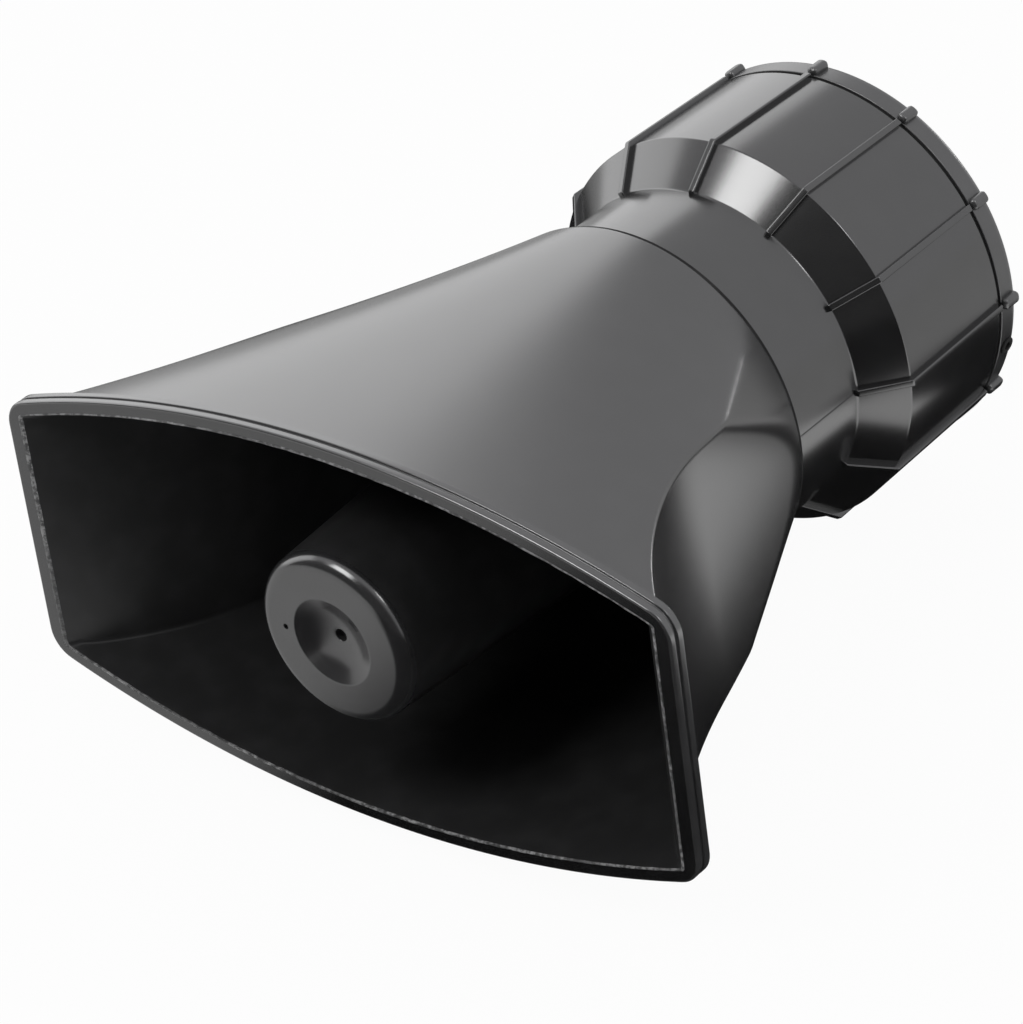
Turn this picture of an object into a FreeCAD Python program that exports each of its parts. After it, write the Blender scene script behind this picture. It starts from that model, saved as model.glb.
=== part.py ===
import FreeCAD, Part
import math
import os
import Sketcher
from FreeCAD import Placement, Rotation, Vector

# Horn loudspeaker of a megaphone or siren set: a flared bell with a wide bowed mouth, a round seam,
# a ribbed driver housing with the compression driver inside, and a rear cover that carries the mount.
# Millimetres. The horn lies along Y: the mouth faces -Y and the bracket bolt goes in from +Y.
# The origin is the mouth of the bracket insert, on the horn's axis, in the seat of the rear boss.

DRIVING_SIZES = (
    # Stations along the axis, each a length from the piece behind it
    ("boss_stand", 2.4),
    ("cover_depth", 6.1),
    ("cover_gap", 0.7),
    ("drum_length", 32.8),
    ("cone_length", 8.4),
    ("neck_length", 23.6),
    ("seam_gap", 0.8),
    ("bell_length", 95.2),
    # Bell: a ruled passage from the round seam to the wide mouth, with flared sides
    ("seam_step", 3.2),
    ("mouth_half_width", 82.0),
    ("mouth_half_height", 42.8),
    ("mouth_bow_radius", 247.1),
    ("mouth_corner_radius", 6.5),
    ("bell_wall", 1.9),
    ("rim_stand", 1.1),
    ("rim_lip_depth", 1.6),
    ("rim_groove_width", 0.7),
    ("rim_groove_depth", 0.5),
    ("rim_back_depth", 1.6),
    ("corner_turn", 40.0),
    ("flare_angle", 13.55),
    ("flare_clearance", 0.4),
    ("flare_straight", 44.8),
    ("crease_radius", 1.6),
    ("bell_floor", 6.0),
    # Driver housing
    ("drum_radius", 44.0),
    ("drum_taper", 0.7),
    ("drum_wall", 2.4),
    ("neck_step", 7.4),
    ("neck_wall", 2.6),
    ("neck_front_wall", 2.8),
    ("spigot_length", 3.0),
    ("spigot_wall", 3.0),
    ("spigot_set", 2.2),
    ("socket_fit", 0.2),
    ("seal_set", 0.4),
    ("seat_fit", 0.05),
    ("shelf_set", 2.6),
    ("shelf_thickness", 3.4),
    ("rib_count", 12),
    ("rib_width", 1.5),
    ("rib_height", 1.1),
    ("rib_root", 1.4),
    ("cover_post_half", 4.0),
    ("cover_post_depth", 12.6),
    ("bell_post_radius", 3.6),
    ("bell_post_length", 8.4),
    # Rear cover, its lugs, boss and cable inlet
    ("cover_wall", 2.6),
    ("cover_edge_radius", 2.5),
    ("cover_spigot_length", 4.5),
    ("cover_spigot_wall", 2.1),
    ("cover_fit", 0.4),
    ("cover_inset", 0.1),
    ("lug_width", 2.6),
    ("lug_stand", 1.5),
    ("lug_length", 4.9),
    ("lug_root", 0.9),
    ("boss_radius", 14.0),
    ("boss_core_radius", 8.0),
    ("boss_core_floor", 1.8),
    ("insert_radius", 4.6),
    ("insert_bore_radius", 2.5),
    ("insert_length", 7.5),
    ("grommet_angle", -15.0),
    ("grommet_set", 2.5),
    ("grommet_neck_radius", 1.4),
    ("grommet_flange_radius", 1.9),
    ("grommet_flange_stand", 0.5),
    ("grommet_bore_radius", 0.9),
    # Throat tube and reflector
    ("throat_entry_radius", 8.0),
    ("throat_exit_radius", 10.2),
    ("tube_radius", 12.6),
    ("tube_flange_radius", 24.0),
    ("tube_flange_thickness", 3.0),
    ("tube_seal_section", 1.8),
    ("tube_seal_width", 2.8),
    ("tube_fit", 0.2),
    ("cap_stand", 2.6),
    ("cap_radius", 18.4),
    ("cap_edge_radius", 3.0),
    ("cap_length", 64.0),
    ("cap_skirt_radius", 21.5),
    ("cap_wall", 2.2),
    ("cap_floor", 3.8),
    ("cap_dish_radius", 9.4),
    ("cap_dish_wall_depth", 2.4),
    ("cap_dish_draft", 4.9),
    ("cap_dish_depth", 2.8),
    ("cap_hole_radius", 1.3),
    ("cap_hole_depth", 1.4),
    ("cap_mark_radius", 0.6),
    ("cap_mark_set", 11.6),
    ("cap_mark_depth", 0.8),
    ("sound_gap", 7.2),
    ("vane_count", 3),
    ("vane_angle", 90.0),
    ("vane_width", 1.8),
    ("vane_length", 38.0),
    ("vane_stop", 1.8),
    ("vane_front", 4.0),
    # Compression driver
    ("driver_margin", 10.0),
    ("plate_edge", 4.5),
    ("plate_thickness", 8.5),
    ("snout_radius", 15.5),
    ("snout_fit", 0.3),
    ("plug_set", 0.5),
    ("plug_fit", 0.1),
    ("plug_thickness", 2.0),
    ("plug_ledge", 3.3),
    ("plug_slot_count", 8),
    ("plug_slot_width", 1.3),
    ("plug_slot_inner", 3.5),
    ("plug_slot_set", 3.9),
    ("dome_height", 5.0),
    ("dome_skin", 0.5),
    ("dome_gap", 0.9),
    ("dome_rim", 1.4),
    ("former_wall", 0.4),
    ("former_length", 9.0),
    ("coil_wall", 0.65),
    ("coil_length", 5.6),
    ("coil_fit", 0.05),
    ("coil_gap", 0.5),
    ("pole_gap", 0.6),
    ("surround_width", 5.6),
    ("surround_edge", 0.6),
    ("surround_hold", 3.0),
    ("surround_roll_radius", 3.2),
    ("surround_room", 1.4),
    ("clamp_thickness", 2.5),
    ("clamp_set", 0.5),
    ("top_plate_thickness", 5.0),
    ("magnet_room", 2.2),
    ("magnet_bore_room", 2.4),
    ("magnet_thickness", 13.0),
    ("back_plate_set", 0.5),
    ("back_plate_thickness", 5.0),
    ("pole_vent", 3.0),
    ("pad_margin", 0.75),
    ("board_gap", 1.5),
    ("board_edge", 1.0),
    ("board_width", 16.0),
    ("board_thickness", 1.6),
    ("lug_tab_length", 8.0),
    ("lug_tab_width", 3.0),
    ("lug_tab_thickness", 0.6),
    ("lug_tab_pitch", 8.0),
    ("rivet_radius", 1.0),
    ("rivet_head", 0.5),
    # Screws
    ("screw_radius", 1.5),
    ("screw_head_radius", 2.8),
    ("screw_head_height", 1.7),
    ("screw_fit", 0.08),
    ("tip_room", 0.3),
    ("slot_width", 0.8),
    ("slot_length", 3.2),
    ("slot_depth", 0.9),
    ("screw_count", 4),
    ("screw_angle", 45.0),
    ("clamp_angle", 0.0),
    ("cover_screw_set", 3.7),
    ("cover_screw_length", 20.0),
    ("cover_head_sink", 1.8),
    ("bell_screw_set", 8.0),
    ("bell_screw_length", 17.5),
    ("mount_screw_circle", 19.8),
    ("mount_screw_length", 11.5),
    ("clamp_screw_set", 4.5),
    ("clamp_screw_length", 13.0),
    ("clamp_head_sink", 2.0),
)

doc = FreeCAD.newDocument("horn_loudspeaker")
sheet = doc.addObject("Spreadsheet::Sheet", "Sizes")
for row, (alias, amount) in enumerate(DRIVING_SIZES, start=1):
    sheet.set(f"A{row}", alias)
    sheet.set(f"B{row}", str(amount))
    sheet.setAlias(f"B{row}", alias)
doc.recompute()


class Size:
    """A number worked out from the sheet, held both as a value and as the sheet's expression."""

    def __init__(self, value, text):
        self.value = float(value)
        self.text = text

    @staticmethod
    def of(other):
        return other if isinstance(other, Size) else Size(other, f"({other})")

    def __add__(self, other):
        other = Size.of(other)
        return Size(self.value + other.value, f"({self.text} + {other.text})")

    def __sub__(self, other):
        other = Size.of(other)
        return Size(self.value - other.value, f"({self.text} - {other.text})")

    def __rsub__(self, other):
        return Size.of(other) - self

    def __mul__(self, other):
        other = Size.of(other)
        return Size(self.value * other.value, f"({self.text} * {other.text})")

    def __truediv__(self, other):
        other = Size.of(other)
        return Size(self.value / other.value, f"({self.text} / {other.text})")

    def __neg__(self):
        return Size(-self.value, f"(0 - {self.text})")

    __radd__ = __add__
    __rmul__ = __mul__

    def root(self):
        return Size(math.sqrt(self.value), f"sqrt({self.text})")


def size(alias):
    """The sheet's cell of this alias."""
    return Size(float(sheet.get(alias)), f"Sizes.{alias}")


def leg(long_side, short_side):
    """The other leg of a right-angled triangle."""
    return (long_side * long_side - short_side * short_side).root()


# Stations along the axis
ZERO = Size(0.0, "0")
y_mount = ZERO
y_back = -size("boss_stand")
y_band = y_back - size("cover_depth")
y_drum_end = y_band - size("cover_gap")
y_drum_front = y_drum_end - size("drum_length")
y_neck = y_drum_front - size("cone_length")
y_seam = y_neck - size("neck_length")
y_shoulder = y_seam + size("seam_gap")
y_neck_wall = y_shoulder + size("neck_front_wall")
y_mouth = y_seam - size("bell_length")
y_bell_floor = y_seam - size("bell_floor")
y_cap = y_mouth - size("cap_stand")
y_cap_floor = y_cap + size("cap_dish_depth") + size("cap_floor")
y_tube_end = y_cap_floor + size("sound_gap")
y_cover_inside = y_back - size("cover_wall")
y_shelf = y_drum_front - size("shelf_set")
y_shelf_front = y_shelf - size("shelf_thickness")
y_tube_flange = y_shelf_front - size("tube_flange_thickness")
y_diaphragm = y_shelf + size("plate_thickness")
y_rim_rear = y_diaphragm + size("dome_skin")
y_top_plate = y_diaphragm + size("clamp_thickness")
y_magnet = y_top_plate + size("top_plate_thickness")
y_back_plate = y_magnet + size("magnet_thickness")
y_driver_end = y_back_plate + size("back_plate_thickness")
y_board_end = y_driver_end + size("board_thickness")

# Radii that several pieces share
drum_end_radius = size("drum_radius") - size("drum_taper")
drum_bore = drum_end_radius - size("drum_wall")
band_radius = drum_end_radius + size("cover_inset")
neck_radius = size("drum_radius") - size("neck_step")
neck_bore = neck_radius - size("neck_wall")
seam_radius = neck_radius + size("seam_step")
spigot_radius = neck_radius - size("spigot_set")
spigot_bore = spigot_radius - size("spigot_wall")
tube_bore_in_wall = size("tube_radius") + size("tube_fit")
shelf_bore = size("snout_radius") + size("snout_fit")
cover_spigot = drum_bore - size("cover_fit")
cover_spigot_bore = cover_spigot - size("cover_spigot_wall")
cover_screw_circle = drum_bore - size("cover_screw_set")
bell_screw_circle = neck_bore - size("bell_screw_set")

# Radii of the compression driver, outwards from its dome, which follows the drum
dome_radius = (size("drum_radius") - size("driver_margin")) / 2
dome_height = size("dome_height")
dome_sphere = (dome_radius * dome_radius + dome_height * dome_height) / (dome_height * 2)
y_dome_centre = y_diaphragm - size("dome_height") + dome_sphere
dome_rim_radius = dome_radius + size("dome_rim")
surround_radius = dome_rim_radius + size("surround_width")
surround_outer = surround_radius + size("surround_hold")
clamp_screw_circle = surround_outer + size("clamp_screw_set")
plate_radius = clamp_screw_circle + size("plate_edge")
clamp_radius = plate_radius - size("clamp_set")
plug_radius = dome_radius - size("plug_set")
pole_radius = dome_radius - size("pole_gap")
coil_bore = dome_radius + size("former_wall") + size("coil_fit")
coil_radius = coil_bore + size("coil_wall")
gap_radius = coil_radius + size("coil_gap")
magnet_bore = gap_radius + size("magnet_bore_room")
post_inner = cover_screw_circle - size("cover_post_half")
magnet_radius = post_inner - size("magnet_room")
back_plate_radius = magnet_radius - size("back_plate_set")
pad_radius = back_plate_radius / 2 + size("pad_margin")
board_set = pad_radius + size("board_gap")
board_length = back_plate_radius - size("board_edge") - board_set

screw_hole = size("screw_radius") + size("screw_fit")
head_hole = size("screw_head_radius") + size("screw_fit") * 2
FULL_TURN = 360.0

TURN_LEFT = 1
TURN_RIGHT = -1


def arc_of(start, end, radius, turn):
    """The short arc from start to end, and whether it runs with the pen."""
    chord = end - start
    half = chord.Length / 2
    across = Vector(-chord.y, chord.x, 0) * turn
    across.normalize()
    centre = (start + end) / 2 + across * math.sqrt(max(radius * radius - half * half, 0.0))
    first, last = (start, end) if turn == TURN_LEFT else (end, start)
    angles = [math.atan2(p.y - centre.y, p.x - centre.x) for p in (first, last)]
    if angles[1] < angles[0]:
        angles[1] += 2 * math.pi
    return Part.ArcOfCircle(Part.Circle(centre, Vector(0, 0, 1), radius), *angles)


def draw(sketch, corners):
    """A closed outline. A corner is (x, y), or (x, y, radius, turn) where an arc leaves it."""
    points = [Vector(Size.of(c[0]).value, Size.of(c[1]).value, 0) for c in corners]
    ends = []
    for index, corner in enumerate(corners):
        start, end = points[index], points[(index + 1) % len(points)]
        if len(corner) == 2:
            edge = sketch.addGeometry(Part.LineSegment(start, end), False)
            ends.append((edge, 1, 2))
        else:
            edge = sketch.addGeometry(arc_of(start, end, corner[2].value, corner[3]), False)
            ends.append((edge, 1, 2) if corner[3] == TURN_LEFT else (edge, 2, 1))
    for index, (edge, _, tail) in enumerate(ends):
        following, head, _ = ends[(index + 1) % len(ends)]
        sketch.addConstraint(Sketcher.Constraint("Coincident", edge, tail, following, head))
    for (edge, head, _), corner in zip(ends, corners):
        for kind, axis, amount in (("DistanceX", -2, corner[0]), ("DistanceY", -1, corner[1])):
            amount = Size.of(amount)
            if amount.text in ("0", "(0)"):
                sketch.addConstraint(Sketcher.Constraint("PointOnObject", edge, head, axis))
            else:
                mark = sketch.addConstraint(Sketcher.Constraint(kind, -1, 1, edge, head, amount.value))
                sketch.setExpression(f"Constraints[{mark}]", amount.text)
        if len(corner) == 4:
            mark = sketch.addConstraint(Sketcher.Constraint("Radius", edge, corner[2].value))
            sketch.setExpression(f"Constraints[{mark}]", corner[2].text)


def part_of_origin(body, role):
    """The body's own origin plane or axis with this role."""
    return next(item for item in body.Origin.OriginFeatures if item.Role == role)


def new_sketch(body, name, corners, plane="XY_Plane", lift=ZERO, turn=ZERO):
    """A sketch on one of the body's own planes, lifted along its normal, or turned about local Y."""
    sketch = body.newObject("Sketcher::SketchObject", name)
    sketch.AttachmentSupport = [(part_of_origin(body, plane), "")]
    sketch.MapMode = "FlatFace"
    sketch.AttachmentOffset = Placement(Vector(0, 0, lift.value), Rotation(Vector(0, 1, 0), turn.value))
    sketch.setExpression("AttachmentOffset.Base.z", lift.text)
    if turn is not ZERO:
        sketch.setExpression("AttachmentOffset.Rotation.Angle", f"{turn.text} * 1 deg")
    draw(sketch, corners)
    return sketch


def turned(name, corners):
    """A body turned about the horn's axis from an outline of (radius, y) corners."""
    body = doc.addObject("PartDesign::Body", f"{name}_body")
    body.Label = name
    sketch = new_sketch(body, f"{name}_outline", corners)
    spin = body.newObject("PartDesign::Revolution", f"{name}_spin")
    spin.Profile = sketch
    spin.ReferenceAxis = (part_of_origin(body, "Y_Axis"), [""])
    spin.Angle = FULL_TURN
    body.Tip = spin
    return body


def add_webs(body, name, corners, width, count, start=ZERO):
    """Equal webs round the axis, each a flat (radius, y) outline of this width."""
    sketch = new_sketch(body, f"{name}_outline", corners, turn=start)
    web = body.newObject("PartDesign::Pad", f"{name}_pad")
    web.Profile = sketch
    web.SideType = "Symmetric"
    web.Length = width.value
    web.setExpression("Length", width.text)
    pattern = body.newObject("PartDesign::PolarPattern", f"{name}_ring")
    pattern.Originals = [web]
    pattern.Axis = (part_of_origin(body, "Y_Axis"), [""])
    pattern.Angle = FULL_TURN
    pattern.Occurrences = int(count.value)
    pattern.setExpression("Occurrences", count.text)
    body.Tip = pattern


def cut_slots(body, name, corners, width, count, start=ZERO):
    """Equal slots round the axis, each a flat (radius, y) outline of this width."""
    sketch = new_sketch(body, f"{name}_outline", corners, turn=start)
    slot = body.newObject("PartDesign::Pocket", f"{name}_pocket")
    slot.Profile = sketch
    slot.SideType = "Symmetric"
    slot.Length = width.value
    slot.setExpression("Length", width.text)
    pattern = body.newObject("PartDesign::PolarPattern", f"{name}_ring")
    pattern.Originals = [slot]
    pattern.Axis = (part_of_origin(body, "Y_Axis"), [""])
    pattern.Angle = FULL_TURN
    pattern.Occurrences = int(count.value)
    pattern.setExpression("Occurrences", count.text)
    body.Tip = pattern


def set_number(item, place, amount):
    """Bind a property of this item to a size."""
    item.setExpression(place, Size.of(amount).text)


def set_place(item, x, y, z, rotation):
    """Put an item at a place that follows the sheet."""
    item.Placement = Placement(Vector(*(Size.of(c).value for c in (x, y, z))), rotation)
    for letter, amount in zip("xyz", (x, y, z)):
        set_number(item, f"Placement.Base.{letter}", amount)


ALONG_Y = Rotation(Vector(1, 0, 0), -90)


def on_circle(circle, degrees):
    """The x and z of a point on a circle round the axis, 0 degrees at +X and 90 at the top."""
    degrees = Size.of(degrees)
    turn = math.radians(degrees.value)
    across = Size(math.cos(turn), f"cos({degrees.text} * 1 deg)")
    up = Size(math.sin(turn), f"sin({degrees.text} * 1 deg)")
    return circle * across, circle * up


def ring_of_pins(name, circle, start, radius, front, back):
    """Round pins along the axis on a circle, from one station to another, as one compound."""
    pins = []
    count = int(size("screw_count").value)
    for index in range(count):
        pin = doc.addObject("Part::Cylinder", f"{name}_pin{index}")
        x, z = on_circle(circle, start + FULL_TURN * index / count)
        set_number(pin, "Radius", radius)
        set_number(pin, "Height", back - front)
        set_place(pin, x, front, z, ALONG_Y)
        pins.append(pin)
    ring = doc.addObject("Part::Compound", f"{name}_ring")
    ring.Links = pins
    return ring


def ring_of_crosses(name, circle, start, front, back):
    """Cross recesses for a driver bit, on the same circle as the screws."""
    blades = []
    arms = (("x", "slot_length", "slot_width"), ("z", "slot_width", "slot_length"))
    count = int(size("screw_count").value)
    for index in range(count):
        x, z = on_circle(circle, start + FULL_TURN * index / count)
        for long_way, wide, tall in arms:
            blade = doc.addObject("Part::Box", f"{name}_blade{index}{long_way}")
            set_number(blade, "Length", size(wide))
            set_number(blade, "Width", back - front)
            set_number(blade, "Height", size(tall))
            set_place(blade, x - size(wide) / 2, front, z - size(tall) / 2, Rotation())
            blades.append(blade)
    ring = doc.addObject("Part::Compound", f"{name}_ring")
    ring.Links = blades
    return ring


def cut(label, base, tools):
    """A base with tools taken away, as a new object with this label."""
    for index, tool in enumerate(tools):
        step = doc.addObject("Part::Cut", f"{label}_cut{index}")
        step.Base = base
        step.Tool = tool
        base = step
    base.Label = label
    return base


def fuse(label, pieces):
    """Pieces joined into one, as a new object with this label."""
    joined = doc.addObject("Part::MultiFuse", f"{label}_fuse")
    joined.Shapes = pieces
    joined.Label = label
    return joined


def screws(label, circle, start, seat, length, head_side):
    """A group of equal screws. head_side is -1 where the heads look forward and 1 where they look back."""
    head_top = seat + size("screw_head_height") * head_side
    tip = seat - length * head_side
    low, high = (head_top, seat) if head_side < 0 else (seat, head_top)
    heads = ring_of_pins(f"{label}_heads", circle, start, size("screw_head_radius"), low, high)
    low, high = (seat, tip) if head_side < 0 else (tip, seat)
    shanks = ring_of_pins(f"{label}_shanks", circle, start, size("screw_radius"), low, high)
    recess = head_top - size("slot_depth") * head_side
    low, high = (head_top, recess) if head_side < 0 else (recess, head_top)
    crosses = ring_of_crosses(f"{label}_crosses", circle, start, low, high)
    return cut(label, fuse(f"{label}_blank", [heads, shanks]), [crosses])


def mouth_outline(inset):
    """The mouth's outline, drawn in by an inset: bowed long edges, straight ends, round corners."""
    bow = size("mouth_bow_radius") - inset
    rise = size("mouth_half_height") - size("mouth_bow_radius")
    wide = size("mouth_half_width") - inset
    corner = size("mouth_corner_radius") - inset
    middle_x = wide - corner
    reach = bow - corner
    middle_z = leg(reach, middle_x)
    touch_x = middle_x * bow / reach
    touch_z = rise + middle_z * bow / reach
    side_z = rise + middle_z
    return [
        (wide, -side_z),
        (wide, side_z, corner, TURN_LEFT),
        (touch_x, touch_z, bow, TURN_LEFT),
        (-touch_x, touch_z, corner, TURN_LEFT),
        (-wide, side_z),
        (-wide, -side_z, corner, TURN_LEFT),
        (-touch_x, -touch_z, bow, TURN_LEFT),
        (touch_x, -touch_z, corner, TURN_LEFT),
    ]


def rim_slab(name, outline, front, depth):
    """A slab of the rim, from a front station towards the seam."""
    body = doc.addObject("PartDesign::Body", f"{name}_body")
    sketch = new_sketch(body, f"{name}_outline", outline, plane="XZ_Plane", lift=-front)
    pad = body.newObject("PartDesign::Pad", f"{name}_pad")
    pad.Profile = sketch
    pad.Reversed = True
    pad.Length = depth.value
    set_number(pad, "Length", depth)
    body.Tip = pad
    return body


# The bell's passage, outside and inside. Eight ruled faces join the seam's circle to the mouth, whose
# corners lie opposite fixed points of the circle, and an upright surface then cuts the flared sides.
def passage(inset):
    """The solid passage from seam to mouth, drawn in by an inset under the rim."""
    bow = size("mouth_bow_radius").value - size("rim_stand").value - inset
    rise = size("mouth_half_height").value - size("mouth_bow_radius").value
    side = size("mouth_half_width").value
    radius = seam_radius.value - inset
    corner_turn = math.radians(size("corner_turn").value)
    seam, mouth = y_seam.value, y_mouth.value

    def on_seam(angle):
        return Vector(radius * math.cos(angle), seam, radius * math.sin(angle))

    def on_mouth(x, upward):
        return Vector(x, mouth, upward * (rise + math.sqrt(bow * bow - x * x)))

    def quarter(right, upward):
        """The upper or lower half of one side: the patch beside the crease, and the bowed top."""
        turns = [0.0, corner_turn, math.pi / 2]
        spots = [on_seam(a) for a in turns]
        spots = [Vector(p.x * right, p.y, p.z * upward) for p in spots]
        bends = [on_seam((a + b) / 2) for a, b in zip(turns, turns[1:])]
        bends = [Vector(p.x * right, p.y, p.z * upward) for p in bends]
        corner, crown = on_mouth(side * right, upward), on_mouth(0.0, upward)
        rims = [
            Part.makeLine(Vector(side * right, mouth, 0), corner),
            Part.Arc(corner, on_mouth(side / 2 * right, upward), crown).toShape(),
        ]
        arcs = [Part.Arc(spots[i], bends[i], spots[i + 1]).toShape() for i in range(2)]
        return list(zip(arcs, rims))

    pairs = [pair for right in (1, -1) for upward in (1, -1) for pair in quarter(right, upward)]
    faces = [Part.makeRuledSurface(arc, rim) for arc, rim in pairs]
    for place in range(2):
        edges = Part.sortEdges([pair[place] for pair in pairs])[0]
        faces.append(Part.Face(Part.Wire(edges)))
    shell = Part.makeShell(faces)
    shell.sewShape()
    solid = Part.makeSolid(shell)
    if solid.Volume < 0:
        solid.reverse()
    return solid


def flare(inset):
    """An upright block whose two sides have the bell's flare, drawn in by an inset."""
    lean = math.radians(size("flare_angle").value)
    along = Vector(math.sin(lean), -math.cos(lean), 0)
    outward = Vector(math.cos(lean), math.sin(lean), 0)
    start = Vector(seam_radius.value + size("flare_clearance").value, y_seam.value, 0)
    bend = start + along * (size("flare_straight").value / math.cos(lean))
    end = Vector(size("mouth_half_width").value - size("rim_stand").value, y_mouth.value, 0)
    reach = end - bend
    centre = bend + outward * (reach.Length ** 2 / (2 * reach.dot(outward)))
    radius = (centre - bend).Length + inset
    past = size("rim_lip_depth").value * 2

    def on_arc(angle):
        return centre + Vector(math.cos(angle), math.sin(angle), 0) * radius

    def mirrored(point):
        return Vector(-point.x, point.y, 0)

    begin = math.pi + lean
    finish = math.pi + math.asin((centre.y - y_mouth.value + past) / radius)
    bend, middle, tip = on_arc(begin), on_arc((begin + finish) / 2), on_arc(finish)
    back = start - outward * inset - along * past
    edges = [
        Part.makeLine(back, bend),
        Part.Arc(bend, middle, tip).toShape(),
        Part.makeLine(tip, mirrored(tip)),
        Part.Arc(mirrored(tip), mirrored(middle), mirrored(bend)).toShape(),
        Part.makeLine(mirrored(bend), mirrored(back)),
        Part.makeLine(mirrored(back), back),
    ]
    tall = size("mouth_half_height").value * 2
    face = Part.Face(Part.Wire(edges))
    face.translate(Vector(0, 0, -tall))
    return face.extrude(Vector(0, 0, 2 * tall))


def crease_edges(solid):
    """The edges where the bowed top and bottom meet the flared sides."""
    found = []
    for edge in solid.Edges:
        box = edge.BoundBox
        middle = edge.valueAt((edge.FirstParameter + edge.LastParameter) / 2)
        if box.YLength > 1 and abs(middle.x) > seam_radius.value + 1 and abs(middle.z) > 1:
            found.append(edge)
    return found


def bell_form(inset):
    """The bell's solid form, drawn in by an inset."""
    return passage(inset).common(flare(inset))


# Bell
soft_edge = size("crease_radius").value
bell_outer = doc.addObject("Part::Feature", "bell_outer")
outside = bell_form(0.0)
bell_outer.Shape = outside.makeFillet(soft_edge, crease_edges(outside))
bell_inner = doc.addObject("Part::Feature", "bell_inner")
inside = bell_form(size("bell_wall").value)
inside = inside.makeFillet(soft_edge, crease_edges(inside))
span = size("bell_length").value * 2
before_floor = Part.makeBox(span, span, span, Vector(-span / 2, y_bell_floor.value - span, -span / 2))
bell_inner.Shape = inside.common(before_floor)

y_rim_groove = y_mouth + size("rim_lip_depth")
y_rim_back = y_rim_groove + size("rim_groove_width")
rim = [
    rim_slab("rim_lip", mouth_outline(ZERO), y_mouth, size("rim_lip_depth")),
    rim_slab("rim_groove", mouth_outline(size("rim_groove_depth")), y_rim_groove, size("rim_groove_width")),
    rim_slab("rim_back", mouth_outline(ZERO), y_rim_back, size("rim_back_depth")),
]
socket_depth = y_shoulder - size("spigot_length") - size("socket_fit")
spigot_socket = turned(
    "spigot_socket",
    [
        (spigot_bore - size("socket_fit"), socket_depth),
        (spigot_radius + size("socket_fit"), socket_depth),
        (spigot_radius + size("socket_fit"), y_shoulder),
        (spigot_bore - size("socket_fit"), y_shoulder),
    ],
)
y_seal_middle = (y_seam + y_bell_floor) / 2
seal_half = size("tube_seal_width") / 2
seal_bottom = tube_bore_in_wall + size("tube_seal_section")
tube_bore = turned(
    "tube_bore",
    [
        (0, y_bell_floor - seal_half),
        (tube_bore_in_wall, y_bell_floor - seal_half),
        (tube_bore_in_wall, y_seal_middle - seal_half - size("seat_fit")),
        (seal_bottom, y_seal_middle - seal_half - size("seat_fit")),
        (seal_bottom, y_seal_middle + seal_half + size("seat_fit")),
        (tube_bore_in_wall, y_seal_middle + seal_half + size("seat_fit")),
        (tube_bore_in_wall, y_shoulder),
        (0, y_shoulder),
    ],
)
bell_drill = ring_of_pins(
    "bell_drill", bell_screw_circle, size("screw_angle"), screw_hole, y_bell_floor - seal_half, y_shoulder
)
bell_blank = fuse("bell_blank", [bell_outer] + rim)
bell = cut("bell", bell_blank, [bell_inner, spigot_socket, tube_bore, bell_drill])

bell_seal = turned(
    "bell_seal",
    [
        (spigot_radius + size("socket_fit") * 2, y_seam),
        (seam_radius - size("seal_set"), y_seam),
        (seam_radius - size("seal_set"), y_shoulder),
        (spigot_radius + size("socket_fit") * 2, y_shoulder),
    ],
)
throat_seal = turned(
    "throat_seal",
    [
        (size("tube_radius") + size("seat_fit"), y_seal_middle - seal_half),
        (seal_bottom - size("seat_fit"), y_seal_middle - seal_half),
        (seal_bottom - size("seat_fit"), y_seal_middle + seal_half),
        (size("tube_radius") + size("seat_fit"), y_seal_middle + seal_half),
    ],
)

# Throat tube
tube_blank = turned(
    "tube_blank",
    [
        (size("throat_exit_radius"), y_tube_end),
        (size("tube_radius"), y_tube_end),
        (size("tube_radius"), y_tube_flange),
        (size("tube_flange_radius"), y_tube_flange),
        (size("tube_flange_radius"), y_shelf_front),
        (size("throat_entry_radius"), y_shelf_front),
    ],
)
y_mount_tip = y_tube_flange + size("mount_screw_length")
mount_drill = ring_of_pins(
    "mount_drill",
    size("mount_screw_circle"),
    size("screw_angle"),
    screw_hole,
    y_tube_flange - size("slot_depth"),
    y_mount_tip + size("tip_room"),
)
throat_tube = cut("throat_tube", tube_blank, [mount_drill])

# Reflector
cap_radius = size("cap_radius")
cap_lean = (size("cap_skirt_radius") - cap_radius) / (size("cap_length") - size("cap_edge_radius"))


def cap_bore(y):
    """The reflector's inner radius at a station."""
    return cap_radius - size("cap_wall") + cap_lean * (y - y_cap - size("cap_edge_radius"))


y_cap_shoulder = y_cap_floor + size("cap_wall")
y_vane_front = y_tube_end - size("vane_front")
y_vane_end = y_tube_end + size("vane_length")
vane_root = size("cap_wall") / 3
reflector_blank = turned(
    "reflector_blank",
    [
        (0, y_cap + size("cap_dish_depth") + size("cap_hole_depth")),
        (size("cap_hole_radius"), y_cap + size("cap_dish_depth") + size("cap_hole_depth")),
        (size("cap_hole_radius"), y_cap + size("cap_dish_depth")),
        (size("cap_dish_radius") - size("cap_dish_draft"), y_cap + size("cap_dish_wall_depth")),
        (size("cap_dish_radius"), y_cap),
        (cap_radius - size("cap_edge_radius"), y_cap, size("cap_edge_radius"), TURN_LEFT),
        (cap_radius, y_cap + size("cap_edge_radius")),
        (size("cap_skirt_radius"), y_cap + size("cap_length")),
        (size("cap_skirt_radius") - size("cap_wall"), y_cap + size("cap_length")),
        (cap_bore(y_cap_shoulder), y_cap_shoulder),
        (cap_bore(y_cap_shoulder) - size("cap_wall"), y_cap_floor),
        (0, y_cap_floor),
    ],
)
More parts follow.
